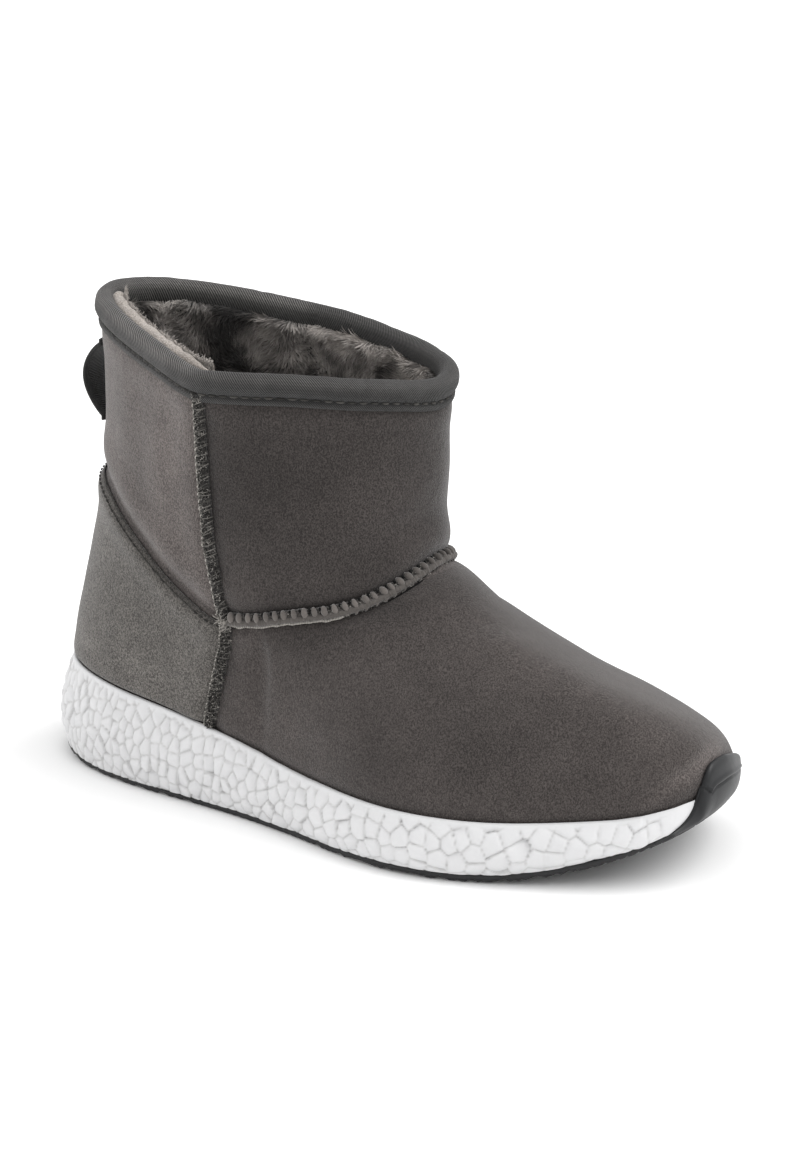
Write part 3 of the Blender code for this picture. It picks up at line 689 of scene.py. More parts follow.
# around, up, half length in mm, half width in mm, degrees from level, height in mm
CREASES = (
    (0.335, 1.16, 26, 5.0, 12, -0.9),
    (0.30, 1.30, 22, 7.0, 14, 0.7),
    (0.43, 1.28, 24, 6.0, -8, -0.8),
    (0.50, 1.50, 20, 9.0, 0, 0.6),
    (0.245, 1.45, 6.0, 30, 0, 0.7),
    (0.36, 1.62, 10, 24, 15, -0.6),
    (0.145, 1.45, 9.0, 30, 0, 0.8),
    (0.07, 1.50, 10, 26, 0, -0.6),
    (0.31, 0.86, 20, 5.0, -14, -0.9),
    (0.38, 0.86, 22, 6.0, 8, 0.9),
    (0.47, 0.82, 24, 7.0, 0, -0.8),
    (0.33, 0.55, 12.0, 26, 20, -0.5),
    (0.490, 0.205, 13, 3.6, 24, 0.9),
    (0.470, 0.135, 15, 3.4, 12, -0.8),
    (0.465, 0.32, 16, 8.0, 20, -0.8),
    (0.44, 0.22, 14, 5.0, 10, 0.5),
    (0.57, 0.60, 24, 10.0, 0, -0.5),
    (0.64, 0.86, 22, 5.0, 10, -0.9),
    (0.70, 1.20, 24, 6.0, -12, -0.9),
    (0.66, 1.45, 9.0, 26, 0, 0.8),
    (0.74, 0.58, 9.0, 22, 0, 0.8),
    (0.86, 1.40, 24, 8.0, 10, -0.8),
    (0.92, 1.60, 10, 24, 0, 0.7),
)
SETTLE = 0.35 * MM       # so that the swells stand as far out as the troughs lie in
RIB_BOW = 1.12           # a rib's own length below the waist, over the straight way


def rib_scale(around, up):
    """Metres for one share of the way round, and each rib's length below and above the waist."""
    pace = np.linalg.norm(face(around + 0.005, up) - face(around - 0.005, up), axis=-1) / 0.01
    foot, waist, collar = (face(around[0], level) for level in (0.0, 1.0, 2.0))
    return (pace, np.linalg.norm(waist - foot, axis=-1) * RIB_BOW,
            np.linalg.norm(collar - waist, axis=-1))


def in_metres(step, lower, upper):
    """A step of up from the waist, measured along its rib."""
    return step * np.where(step < 0, lower, upper)


def patch_sum(around, up, table):
    """Soft oval patches from a table, added up over a grid of places."""
    pace, lower, upper = rib_scale(around, up)
    rise = in_metres(up - 1, lower, upper)
    total = np.zeros(up.shape)
    for at, level, half_length, half_width, turn, amount in table:
        angle = math.radians(turn)
        across = ((around - at + 0.5) % 1 - 0.5) * pace
        along = rise - in_metres(level - 1, lower, upper)
        first = across * math.cos(angle) + along * math.sin(angle)
        second = along * math.cos(angle) - across * math.sin(angle)
        total += amount * np.exp(-(first / (half_length * MM)) ** 2
                                 - (second / (half_width * MM)) ** 2)
    return total


def suede_relief(around, up):
    """How far the suede stands off the ribs' face, in metres, over a whole grid."""
    spot = face(around, up)
    pace, lower, upper = rib_scale(around, up)
    rise = in_metres(up - waist_seam(around), lower, upper)
    above_rim = (up - rim_up(around[0])) * lower

    height = sample_noise(spot, 0.034) * WAVER + sample_noise(spot, 0.012) * WAVER * 0.35
    height -= SETTLE
    for seam in (side_seam(up), 1 - side_seam(up)):
        off = (around - seam) * pace
        height -= SEAM_PULL * bell(off, SEAM_SPREAD)
        height += SEAM_PULL * 0.45 * bell(np.abs(off) - 9 * MM, 6 * MM)
    height -= SEAM_PULL * 1.3 * bell(rise, SEAM_SPREAD * 0.9)
    height += WAIST_SWELL * bell(np.abs(rise) - 9 * MM, 7 * MM)
    height += RIM_SWELL * bell(above_rim - 5 * MM, 4 * MM)
    height -= RIM_SWELL * 0.8 * bell(above_rim, 1.6 * MM)
    drop = (2 - up) * upper
    height += 0.6 * MM * bell(drop - 13 * MM, 5 * MM)
    return height + patch_sum(around, up, CREASES) * MM


# %% Which way the nap lies, and the painted light and shade on the suede
# partly each panel's nap, partly painted light: the rear panel lighter and the front darker for how
# the light falls, with painted sheen
PANEL_NAP_AND_PAINTED_LIGHT = {"shaft front": 0.56, "shaft rear": 1.45, "vamp": 0.78, "heel": 1.0}
# around, up, half length in mm, half width in mm, degrees from level, share lighter: rubbed
# patches, with painted shade under the instep seam and painted highlights on the vamp and toe
# ridges
RUBS_AND_PAINTED_LIGHT = (
    (0.33, 0.93, 48, 10, 0, -0.22),
    (0.45, 0.93, 40, 9, 0, -0.20),
    (0.265, 0.40, 26, 22, 30, 0.16),
    (0.40, 0.42, 40, 15, 8, -0.10),
    (0.36, 0.30, 34, 10, 0, -0.10),
    (0.50, 0.62, 22, 40, 0, 0.24),
    (0.485, 0.30, 30, 18, 0, 0.20),
    (0.500, 0.165, 22, 6.0, 20, 0.85),
    (0.465, 0.15, 18, 4.0, 12, -0.12),
    (0.44, 0.60, 16, 30, 10, 0.14),
    (0.47, 0.14, 20, 8, 0, 0.16),
    (0.225, 1.08, 9, 16, 0, 0.30),
    (0.30, 1.14, 20, 10, 10, 0.16),
    (0.28, 1.62, 30, 14, 10, -0.10),
    (0.40, 1.50, 16, 34, 0, 0.14),
    (0.44, 1.20, 10, 24, 0, 0.22),
    (0.17, 1.55, 10, 26, 0, 0.14),
    (0.11, 1.75, 12, 12, 0, 0.12),
    (0.12, 1.25, 12, 12, 0, -0.12),
    (0.62, 0.55, 30, 24, 0, 0.16),
    (0.66, 1.40, 26, 30, 0, 0.12),
    (0.72, 0.40, 30, 20, 0, -0.10),
    (0.90, 1.50, 20, 26, 0, 0.14),
)


def nap_and_painted_light(around, up):
    """How light the suede is painted: each panel's nap lies its own way, the rear panel is painted
    lighter and the front darker for how the light falls and for painted sheen, and rubbed patches,
    painted shade and painted highlights are added.
    """
    inside = ease((np.abs(around - 0.5) - (0.5 - side_seam(up)) + 0.004) / 0.008)
    shaft = PANEL_NAP_AND_PAINTED_LIGHT["shaft front"] * (1 - inside) + PANEL_NAP_AND_PAINTED_LIGHT["shaft rear"] * inside
    low = PANEL_NAP_AND_PAINTED_LIGHT["vamp"] * (1 - inside) + PANEL_NAP_AND_PAINTED_LIGHT["heel"] * inside
    light = np.where(up > waist_seam(around), shaft, low)
    spot = face(around, up)
    cloudy = 0.15 * sample_noise(spot, 0.028) + 0.08 * sample_noise(spot, 0.009)
    return light * (1 + cloudy + patch_sum(around, up, RUBS_AND_PAINTED_LIGHT))


# %% Sew the upper
COLUMNS = 420
SUEDE_WALL = 2.0 * MM
turn_round = np.linspace(0, 1, COLUMNS + 1)
below_rim = np.array([0.0, 0.5, 0.85])


def seen_rows(around, count, start=0.0):
    """Rows of up from the rim of the sole to the waist, for every column."""
    first = rim_up(around) + start
    return first + (1 - first) * np.linspace(0, 1, count)[:, None]


hidden = rim_up(turn_round) * below_rim[:, None]
seen = seen_rows(turn_round, 72)
shaft = 1 + np.broadcast_to(np.linspace(0, 1, 54)[1:, None], (53, COLUMNS + 1))
outer_up = np.concatenate([hidden, seen, shaft])
outer_around = np.broadcast_to(turn_round, outer_up.shape)
suede_height = suede_relief(outer_around, outer_up)
suede_height[:len(below_rim)] = 0
outer_skin = closed(lifted(outer_around, outer_up, suede_height))
inner_up = np.broadcast_to(np.linspace(2, 0, 20)[:, None], (20, COLUMNS + 1))
inner_skin = lifted(np.broadcast_to(turn_round, inner_up.shape), inner_up, -SUEDE_WALL)
wall = closed(np.concatenate([outer_skin, inner_skin, outer_skin[:1]]))
# how light the suede is painted: nap, rubbed patches, and painted light and shade
light = np.ones(wall.shape[:2])
light[:len(outer_up)] = nap_and_painted_light(outer_around, outer_up)
skin("upper_suede", [wall], suede, "upper", closed(light))

# %% [markdown]
# ## The heel counter
# A second panel of suede is laid over the heel. It is the same skin lifted by its own thickness,
# closed all round by letting its two faces meet at its edges, and its upper edge is folded and
# sewn down with a line of short stitches.

# %% Lay the counter over the heel
COUNTER_THICKNESS = 1.0 * MM
COUNTER_LIFT = 0.45 * MM
COUNTER_COLUMNS = 190
COUNTER_ROWS = 66
SEAM_HALF = 2.1 * MM
FOLD = 0.034             # how far below the counter's upper edge its stitches run, as a share


def seam_clearance():
    """Half a side seam as a share of the way round."""
    pace = np.linalg.norm(face([SIDE_SEAM + 0.002], [1.0]) - face([SIDE_SEAM - 0.002], [1.0]))
    return SEAM_HALF * 0.004 / pace


clear = seam_clearance()
counter_span = np.linspace(-SIDE_SEAM + clear, SIDE_SEAM - clear, COUNTER_COLUMNS)
counter_up = seen_rows(counter_span, COUNTER_ROWS, 0.008)
counter_around = counter_span * (side_seam(counter_up) - clear) / (SIDE_SEAM - clear)
counter_relief = suede_relief(counter_around, counter_up) + 0.5 * WAVER
edge_share = np.linspace(0, 1, COUNTER_ROWS)[:, None]
side_share = np.linspace(0, 1, COUNTER_COLUMNS)[None]
roll = ease((1 - edge_share) / 0.035) * ease(edge_share / 0.02)
roll = roll * ease(side_share / 0.02) * ease((1 - side_share) / 0.02)
stitched_down = 0.45 * MM * bell((1 - edge_share) - 0.035, 0.014)
top_lift = COUNTER_LIFT + COUNTER_THICKNESS * roll + counter_relief - stitched_down * roll
counter_outer = lifted(counter_around, counter_up, top_lift)
counter_inner = lifted(counter_around, counter_up, COUNTER_LIFT + counter_relief)
cloudy = 0.10 * sample_noise(counter_outer, 0.02) + 0.07 * sample_noise(counter_outer, 0.006)
# a lighter band low on the counter, rubbed wear and painted light from the left and behind
# together; the counter's top edge is painted darker
wear_and_painted_light = 0.14 * bell(counter_outer[..., 2] - 47 * MM, 9 * MM)
darker_top_edge = -0.25 * bell(1 - edge_share - 0.01, 0.02)
skin("heel_counter_suede", [counter_outer, counter_inner], counter_suede,
     "heel_counter", 1 + cloudy + wear_and_painted_light + darker_top_edge)


# %% Stitches along a line
def evenly(points, pitch):
    """Places along a line at an even pitch: shares of its points, and the line's length."""
    steps = np.linalg.norm(np.diff(points, axis=0), axis=1)
    run = np.concatenate([[0], np.cumsum(steps)])
    count = max(2, int(run[-1] / pitch))
    marks = (np.arange(count) + 0.5) * run[-1] / count
    return np.interp(marks, run, np.arange(len(points))), run[-1]


def along_line(values, place):
    """Rows of values read between their own places."""
    first = np.clip(np.floor(place).astype(int), 0, len(values) - 2)
    share = (place - first)[..., None]
    return values[first] * (1 - share) + values[first + 1] * share


def lay_stitches(name, line, normals, pitch, length, radius):
    """Short dark stitches that dip into the cloth at both ends."""
    place, total = evenly(line, pitch)
    half = length / total * (len(line) - 1) / 2
    spread = place[:, None] + np.linspace(-half, half, 9)
    arch = np.sin(np.linspace(0, math.pi, 9)) ** 0.6
    centre = along_line(line, spread)
    away = unit(along_line(normals, spread))
    paths = centre + away * (arch * radius * 1.1 - radius * 0.5)[None, :, None]
    swell = radius * (0.45 + 0.55 * arch)
    tones = 0.05 + 0.12 * np.random.default_rng(3).random(len(place))
    strands(name, paths, swell[None], away, tones, thread, 6)


line_up = 1 - FOLD * (1 - rim_up(counter_span))
line_span = counter_around[-3]
line = lifted(line_span, line_up, COUNTER_LIFT + COUNTER_THICKNESS * 0.95 + counter_relief[-3])
lay_stitches("counter_stitches", line, face_normal(line_span, line_up), 2.6 * MM, 2.0 * MM,
             0.33 * MM)

# %% [markdown]
# ## Overlocked seams
# The side seams and the instep seam stand outwards: two raw edges sewn together and overlocked.
# Each is a lumpy ridge of cloth whose cut fibres stick out, dark and pale mixed, and has a twisted
# chain of pale thread along one edge. The side seams are crossed by thin slanted threads. The
# instep seam carries a soft roll with thick short threads over it, dark blobs of painted shade in
# the needle holes between their tops, and a dark strand below as a painted shadow in the gap under
# the seam.

# %% Tools for the raised seams
SEAM_RISE = 2.1 * MM
chance = np.random.default_rng(11)


def seam_frame(around, up):
    line = face(around, up)
    away = face_normal(around, up)
    along = unit(np.gradient(line, axis=0))
    return line, unit(np.cross(along, away)), away


def on_seam(frame_lines, place):
    """Points on a seam's line, and its sideways and outward directions there."""
    line, across, away = frame_lines
    return along_line(line, place), unit(along_line(across, place)), unit(along_line(away, place))


def over_ridge(frame_lines, place, arc, half, sunk):
    """Paths over a ridge: place is where along the seam, arc runs from -1 to 1 across it."""
    centre, side, out = on_seam(frame_lines, place)
    hump = sunk + SEAM_RISE * np.clip(1 - arc ** 2, 0, None) ** 0.4
    return centre + side * (half * arc)[..., None] + out * hump[..., None], out


def line_length(line):
    return np.linalg.norm(np.diff(line, axis=0), axis=1).sum()


def fuzz(name, frame_lines, half, sunk, density):
    """Cut fibres that stick out of a ridge."""
    line = frame_lines[0]
    count = int(line_length(line) * half * 4 * density)
    place = chance.random(count) * (len(line) - 1)
    arc = chance.uniform(-0.97, 0.97, count)
    roots, out = over_ridge(frame_lines, place, arc, half * 0.9, sunk - 0.1 * MM)
    side = on_seam(frame_lines, place)[1]
    along = np.cross(out, side)
    facing = unit(side * arc[:, None] + out * np.sqrt(1 - arc ** 2)[:, None])
    flow = along * chance.normal(0, 1.0, (count, 1)) + side * chance.normal(0, 0.6, (count, 1))
    tone = np.choose(chance.choice(3, count, p=[0.62, 0.26, 0.12]),
                     [chance.uniform(0, 0.15, count), chance.uniform(0.22, 0.50, count),
                      chance.uniform(0.6, 1.0, count)])
    locks(name, roots, facing, flow, 1.1 * MM, 0.42 * MM, tone, thread, 13)


def chain(name, frame_lines, half, sunk, edge, pitch=2.3 * MM, stop=1.0):
    """Two threads twisted round each other along one edge of a seam."""
    line = frame_lines[0]
    total = line_length(line)
    steps = int(total / (0.28 * MM))
    place = np.linspace(0, (len(line) - 1) * stop, steps)[None] + np.zeros((2, 1))
    centre, side, out = on_seam(frame_lines, place)
    wobble = 1 + 0.75 * sample_noise(centre, 0.0020)[..., None]
    stray = 0.50 * MM * sample_noise(centre + 0.7, 0.0030)[..., None]
    twist = (np.linspace(0, total, steps) / pitch * 2 * math.pi
             + np.array([[0], [math.pi]]))[..., None]
    paths = (centre + side * edge * (half * 0.98 + stray + 0.30 * MM * np.cos(twist) * wobble)
             + out * (sunk + 1.25 * MM + 0.33 * MM * np.sin(twist) * wobble))
    strands(name, paths, 0.27 * MM, out, np.array([0.95, 0.40]), thread)


# %% Sew the three raised seams
def raised_seam(name, node, around, up, base, half, pale_edge, density, cloth, pale_stop=1.0):
    """pale_edge is 1 or -1: the side of the line that carries the pale chain."""
    frame_lines = line, across, away = seam_frame(around, up)
    count = len(line)
    taper = ease(np.minimum(np.arange(count), np.arange(count)[::-1]) / 5)
    lump = 1 + 0.18 * sample_noise(line, 0.0028) + 0.12 * sample_noise(line, 0.0011)
    width = half * 0.92 * lump * (0.25 + 0.75 * taper)
    sunk = base - 0.9 * MM
    arc = np.cos(np.linspace(0, math.pi, 13))[:, None]
    hump = sunk + SEAM_RISE * lump * taper * (1 - arc ** 2) ** 0.35
    ridge = line + across * (arc * width)[..., None] + away * hump[..., None]
    bottom = line + across * width[:, None] * np.linspace(-1, 1, 4)[1:-1, None, None]
    ring = np.concatenate([ridge, bottom + away * (sunk - 0.3 * MM), ridge[:1]])
    skin(name + "_ridge", [ring] + end_caps(ring, line + away * sunk), cloth, node)
    fuzz(name + "_fuzz", frame_lines, half, sunk, density)
    chain(name + "_chain", frame_lines, half, sunk, pale_edge, stop=pale_stop)
    return frame_lines, sunk


def cross_threads(name, frame_lines, half, sunk):
    """Thin slanted threads over a side seam."""
    place, total = evenly(frame_lines[0], 1.5 * MM)
    per_metre = (len(frame_lines[0]) - 1) / total
    count = len(place)
    arc = np.broadcast_to(np.linspace(-1, 1, 11), (count, 11))
    slip = chance.normal(0, 0.3 * MM, (count, 1)) + arc * chance.normal(0.8, 0.4, (count, 1)) * MM
    paths, out = over_ridge(frame_lines, place[:, None] + slip * per_metre, arc, half * 1.03,
                            sunk + 0.1 * MM)
    strands(name, paths, 0.2 * MM, out, chance.uniform(0.05, 0.5, count), thread)


def plait(name, frame_lines, half, sunk, pitch=3.6 * MM):
    """Short thick threads over the upper half of the instep seam, thinner ones that lean the
    other way below them, a roll under both, dark blobs of painted shade in the needle holes,
    and a dark strand of painted shadow in the gap along the lower edge."""
    line = frame_lines[0]
    place, total = evenly(line, pitch)
    per_metre = (len(line) - 1) / total
    reach = np.repeat([[-0.97, 0.15], [-0.05, 1.0]], len(place), axis=0)
    arc = reach[:, :1] + (reach[:, 1:] - reach[:, :1]) * np.linspace(0, 1, 13)
    lean = np.repeat([[0.30], [-0.90]], len(place), axis=0)
    start = np.concatenate([place, place + pitch * per_metre * 0.8])[:, None]
    start = start + chance.normal(0, 0.16 * MM, start.shape) * per_metre
    run = start + lean * (arc + 1) / 2 * pitch * per_metre
    thick = 1 + 0.10 * chance.normal(0, 1, start.shape)
    paths, out = over_ridge(frame_lines, np.clip(run, 0, len(line) - 1), arc, half,
                            sunk + 0.10 * MM + 0.12 * MM * (lean > 0))
    dim = 1 - 0.45 * ease((start[:, 0] / len(line) - 0.25) / 0.20)
    tones = (np.where(lean[:, 0] > 0, 0.20, 0.22) + 0.08 * chance.random(len(arc))) * dim
    radius = np.where(lean > 0, 1.18, 0.62) * MM * thick
    radius = radius * np.sin(np.linspace(0.45, 2.75, 13))[None] ** 0.6
    strands(name + "_plait", paths, radius, out, tones, cord, 7)
    steps = 700
    run = np.linspace(0.004, 0.996, steps) * (len(line) - 1)
    paths, out = over_ridge(frame_lines, run[None], np.full((1, steps), 0.30), half, sunk)
    pulse = 0.5 + 0.5 * np.cos(run / (pitch * per_metre) * 2 * math.pi)
    swell = (1.05 + 0.16 * pulse + 0.10 * chance.normal(0, 1, steps)) * MM
    strands(name + "_roll", paths, swell[None], out, np.full(1, 0.15), cord, 10)
    # dark blobs between the threads' tops: painted shade in the needle holes
    spot = np.clip(place + pitch * 0.55 * per_metre, 0, len(line) - 1)[:, None] + np.zeros(9)
    centre, side, out = on_seam(frame_lines, spot)
    reach = half * 0.80 + 0.80 * MM * np.linspace(-1.0, 1.0, 9)[None, :, None]
    paths = centre - side * reach + out * (sunk + 1.60 * MM)
    swell = 0.50 * MM * np.sqrt(1 - np.linspace(-0.97, 0.97, 9) ** 2)[None]
    strands(name + "_hole_shade", paths, swell, out, np.zeros(len(place)), thread, 8)
    # a dark strand under the lower edge: a painted shadow in the gap beneath the seam
    steps = 300
    spot = np.linspace(0.30, 0.97, steps)[None] * (len(line) - 1)
    centre, side, out = on_seam(frame_lines, spot)
    paths = centre + side * (half + 0.55 * MM) + out * (sunk + 0.42 * MM)
    swell = 0.62 * MM * np.sqrt(np.clip(1 - np.linspace(-1, 1, steps) ** 4, 0.02, 1))[None]
    strands(name + "_gap_shade", paths, swell, out, np.zeros(1), thread, 8)


SIDE_HALF = 2.25 * MM
WAIST_HALF = 2.5 * MM
KNOT_FIBRES = 90
seam_cloth = make_suede("seam_cloth", (0.010, 0.0095, 0.009), (0.060, 0.056, 0.053), 0.25, 0.2)
cord_cloth = make_suede("seam_cord", (0.030, 0.027, 0.025), (0.105, 0.094, 0.088), 0.25, 0.3)
for name, node, seam in (("seam_outer", "seam_lateral", SIDE_SEAM),
                         ("seam_inner", "seam_medial", 1 - SIDE_SEAM)):
    start = rim_up(np.array([seam]))[0] + 0.004
    stop = up_below_collar(np.array([seam]), 7.4 * MM)[0]
    up = np.linspace(start, stop, 420)
    place = side_seam(up) if seam < 0.5 else 1 - side_seam(up)
    lines, sunk = raised_seam(name, node, place, up, 0.5 * MM, SIDE_HALF,
                              -1 if seam < 0.5 else 1, 2.6e6, seam_cloth)
    cross_threads(name + "_threads", lines, SIDE_HALF, sunk)
around = np.linspace(side_seam(1.03) + clear, 1 - side_seam(1.03) - clear, 560)
lines, sunk = raised_seam("seam_waist", "seam_instep", around, waist_seam(around), 0.9 * MM,
                          WAIST_HALF, 1, 1.1e6, cord_cloth, 0.22)
plait("seam_waist", lines, WAIST_HALF, sunk)
for side in (1, -1):
    spread = chance.normal(0, 0.003, KNOT_FIBRES)
    around = 0.5 - side * (0.5 - side_seam(1.02) - 0.002 + spread)
    knot_up = 1.02 + chance.normal(0, 0.018, KNOT_FIBRES)
    out = face_normal(around, knot_up)
    flow = chance.normal(0, 1.0, (KNOT_FIBRES, 3))
    locks("seam_knot", lifted(around, knot_up, 1.9 * MM), out, flow, 2.4 * MM, 0.34 * MM,
          chance.uniform(0.6, 1.0, KNOT_FIBRES), thread, 61)

# %% [markdown]
# ## The taped collar
# A strip of twill is folded over the top edge and sewn through. It makes a soft roll, then a
# valley where the stitches sink in, then a flat strip below. The section is a short table, in
# millimetres, of how far below the collar each corner lies and how far off the outer face.

# %% Fold the tape over the collar
# mm below the collar, mm off the outer face
TAPE = (
    (8.6, 0.30), (8.6, 1.15), (8.3, 1.5), (7.6, 1.6), (6.8, 1.5), (6.35, 1.15), (5.95, 0.70),
    (5.55, 0.70), (5.15, 1.30), (4.7, 2.0), (4.0, 2.5), (3.2, 2.8), (2.2, 2.9), (1.0, 2.8),
    (0.0, 2.55), (-1.0, 2.05), (-1.8, 1.3), (-2.4, 0.3), (-2.7, -0.8), (-2.6, -1.9),
    (-2.1, -3.0), (-1.2, -3.9), (-0.1, -4.5), (1.4, -4.8), (3.2, -4.8), (5.2, -4.6),
    (6.4, -4.2), (6.4, -3.4), (4.0, -3.2), (1.0, -3.0), (-0.6, -1.8), (-0.6, -0.4),
    (1.0, 0.1), (4.0, 0.2), (7.0, 0.2), (8.6, 0.30),
)
collar_round = np.linspace(0, 1, 521)
section = np.array(TAPE)[:, :, None] * MM
ring_line = collar_line(collar_round)
ring_line[-1] = ring_line[0]
lumps = 0.42 * MM * sample_noise(ring_line, 0.012) + 0.26 * MM * sample_noise(ring_line, 0.0045)
droop = 0.5 * MM * sample_noise(ring_line + 0.3, 0.020)
droop = droop + 1.2 * MM * bell(collar_round - SIDE_SEAM, 0.03)
on_top = bell(section[:, 0] - 0.5 * MM, 5 * MM) * (section[:, 1] > -3.0 * MM)
drop = section[:, 0] + droop - lumps * on_top * 0.8
lift = section[:, 1] + lumps * on_top
drop, lift = np.broadcast_arrays(drop, lift)
wide = np.broadcast_to(collar_round, drop.shape)
tape_skin = closed(lifted(wide, up_below_collar(wide, drop), lift))
# painted light on the tape: the top of the roll worn and with a painted highlight, a painted
# highlight on the strip below, painted shade in the stitch valley, a little uneven tone, and the
# part behind the side seams painted lighter where the light falls
wear_and_painted_light = (0.70 + 0.95 * bell(drop + 1.2 * MM, 1.9 * MM) - 0.30 * bell(drop - 5.6 * MM, 1.0 * MM)
          + 0.20 * bell(drop - 7.6 * MM, 0.9 * MM) + 0.22 * sample_noise(tape_skin, 0.005))
wear_and_painted_light = wear_and_painted_light * (1 + 0.85 * ease((0.215 - (0.5 - np.abs(wide - 0.5))) / 0.03))
skin("collar_tape", [tape_skin], tape, "collar_binding", wear_and_painted_light)

valley_up = up_below_collar(collar_round, 5.8 * MM + droop)
valley = lifted(collar_round, valley_up, 0.80 * MM)
lay_stitches("collar_stitches", valley, face_normal(collar_round, valley_up), 4.2 * MM,
             3.1 * MM, 0.52 * MM)

# %% [markdown]
# ## The pull loop and the patch
# A band of black webbing is sewn down at both ends behind the shaft and bows out between them.
# The patch below it is small, dark and blank.

# %% Bow the webbing and lay the patch
LOOP_WIDTH = 14 * MM
LOOP_BAND = 1.8 * MM
LOOP_HIGH = 18 * MM
LOOP_LOW = 49 * MM
LOOP_BOW = 8 * MM
LOOP_SEWN = 0.06         # share of the band that is sewn down at each end
LOOP_STEPS = 90
share = np.linspace(0, 1, LOOP_STEPS)
bow = np.clip((share - LOOP_SEWN) / (1 - 2 * LOOP_SEWN), 0, 1)
stand_off = LOOP_BOW * np.sin(math.pi * bow ** 1.1) ** 0.75
loop_up = up_below_collar(np.zeros(LOOP_STEPS), LOOP_LOW + (LOOP_HIGH - LOOP_LOW) * share)
middle = lifted(0.0, loop_up, GAP + LOOP_BAND / 2 + stand_off)
along = unit(np.gradient(middle, axis=0))
aside = np.tile([0.0, 1.0, 0.0], (LOOP_STEPS, 1))
off = unit(np.cross(along, aside))
around_band = np.linspace(0, 2 * math.pi, 41)[:, None, None]
flat = np.sign(np.cos(around_band)) * np.abs(np.cos(around_band)) ** 0.25
thick = np.sign(np.sin(around_band)) * np.abs(np.sin(around_band)) ** 0.8
rib = 1 + 0.10 * np.cos(flat * 7 * math.pi)
band = middle + aside * flat * LOOP_WIDTH / 2 + off * thick * rib * LOOP_BAND / 2
band[-1] = band[0]
skin("pull_loop_webbing", [band] + end_caps(band, middle), webbing, "pull_loop")

PATCH_REACH = 0.022
PATCH_LOW = 78 * MM
PATCH_HIGH = 84 * MM
PATCH_COLUMNS = 24
patch_round = np.linspace(-PATCH_REACH, PATCH_REACH, PATCH_COLUMNS)
low, high = (up_at_height(patch_round, height) for height in (PATCH_LOW, PATCH_HIGH))
rows = np.linspace(0, 1, 12)[:, None]
patch_up = low + (high - low) * rows
patch_wide = np.broadcast_to(patch_round, patch_up.shape)
edge = ease(rows / 0.12) * ease((1 - rows) / 0.12)
share = np.linspace(0, 1, PATCH_COLUMNS)
edge = edge * ease(share / 0.1) * ease(share[::-1] / 0.1)
base = COUNTER_LIFT + COUNTER_THICKNESS + GAP + suede_relief(patch_wide, patch_up) + 0.4 * WAVER
skin("blank_patch", [lifted(patch_wide, patch_up, base + 0.8 * MM * edge),
                     lifted(patch_wide, patch_up, base - 0.3 * MM * edge)],
     rubber, "heel_patch")

# %% [markdown]
# ## The foam sole
# The white sole is moulded foam whose side is covered with pebbles: uneven cells, taller than
# they are wide at the heel and broader towards the toe, with narrow grooves between them. They
# are worked out as a map of nearest centres over the unrolled side. Where the two nearest
# centres are equally far, there is a groove. Each cell is slightly domed and slightly tilted.

# %% The shape of the sole's side
def toe_zone(around):
    """1 at the tip of the toe, fading to 0 where the bumper ends."""
    return ease(1 - np.abs(around - TOE_TIP) / BUMPER_REACH)


def bumper_thickness(around):
    return BUMPER_THICKNESS * (0.35 + 0.65 * toe_zone(around) ** 0.5)


def recess(around):
    run_out = 0.012
    under = (BUMPER_REACH + run_out - np.abs(around - TOE_TIP)) / run_out
    return np.clip(under, 0, 1) * (bumper_thickness(around) + BUMPER_GAP)


def side_point(around, share, out=0.0):
    """The foam's side, from its bottom edge (share 0) over its bulge to the rim (share 1)."""
    away = outward(around)
    reach = side_reach(around) + (out - recess(around))[:, None]
    plan = np.column_stack([foot_line(around), np.zeros(len(around))])
    low = plan + away * reach[:, :1]
    low[:, 2] = rubber_top(low[:, 0]) + GAP
    rim_wall = RIM_WALL * np.where(recess(around) > GAP, 0.5, 1)
    top = lifted(around, rim_up(around), GAP + rim_wall + out)
    bulge = plan + away * reach[:, 1:]
    bulge[:, 2] = low[:, 2] + 0.42 * (top[:, 2] - low[:, 2])
    return through(low, bulge, top, np.asarray(share)[..., None])


def cover_point(around, height, out):
    """A point at a height that stands off the foam or, above its rim, off the upper."""
    rim = smooth_height("rim", foot_line(around)[:, 0])
    on_foam = side_point(around, bisect(
        lambda share: side_point(around, share, out)[:, 2] < height, len(around), 20), out)
    settled = np.clip((height - rim) / BUMPER_LAP, 0, 1)
    lift = out + (GAP + RIM_WALL / 2) * (1 - settled)
    on_upper = lifted(around, up_at_height(around, height), lift)
    return np.where((height > rim)[:, None], on_upper, on_foam)


# %% Chart the pebbles
FOAM_COLUMNS = 1150
FOAM_ROWS = 52
# share of the boot's length, width of a cell in mm, its height in mm
CELLS = ((0.0, 4.2, 6.6), (0.25, 4.9, 6.8), (0.50, 5.8, 7.2), (0.75, 7.2, 8.6), (1.0, 8.0, 9.4))
GROOVE = 0.30 * MM
DOME = 0.60 * MM

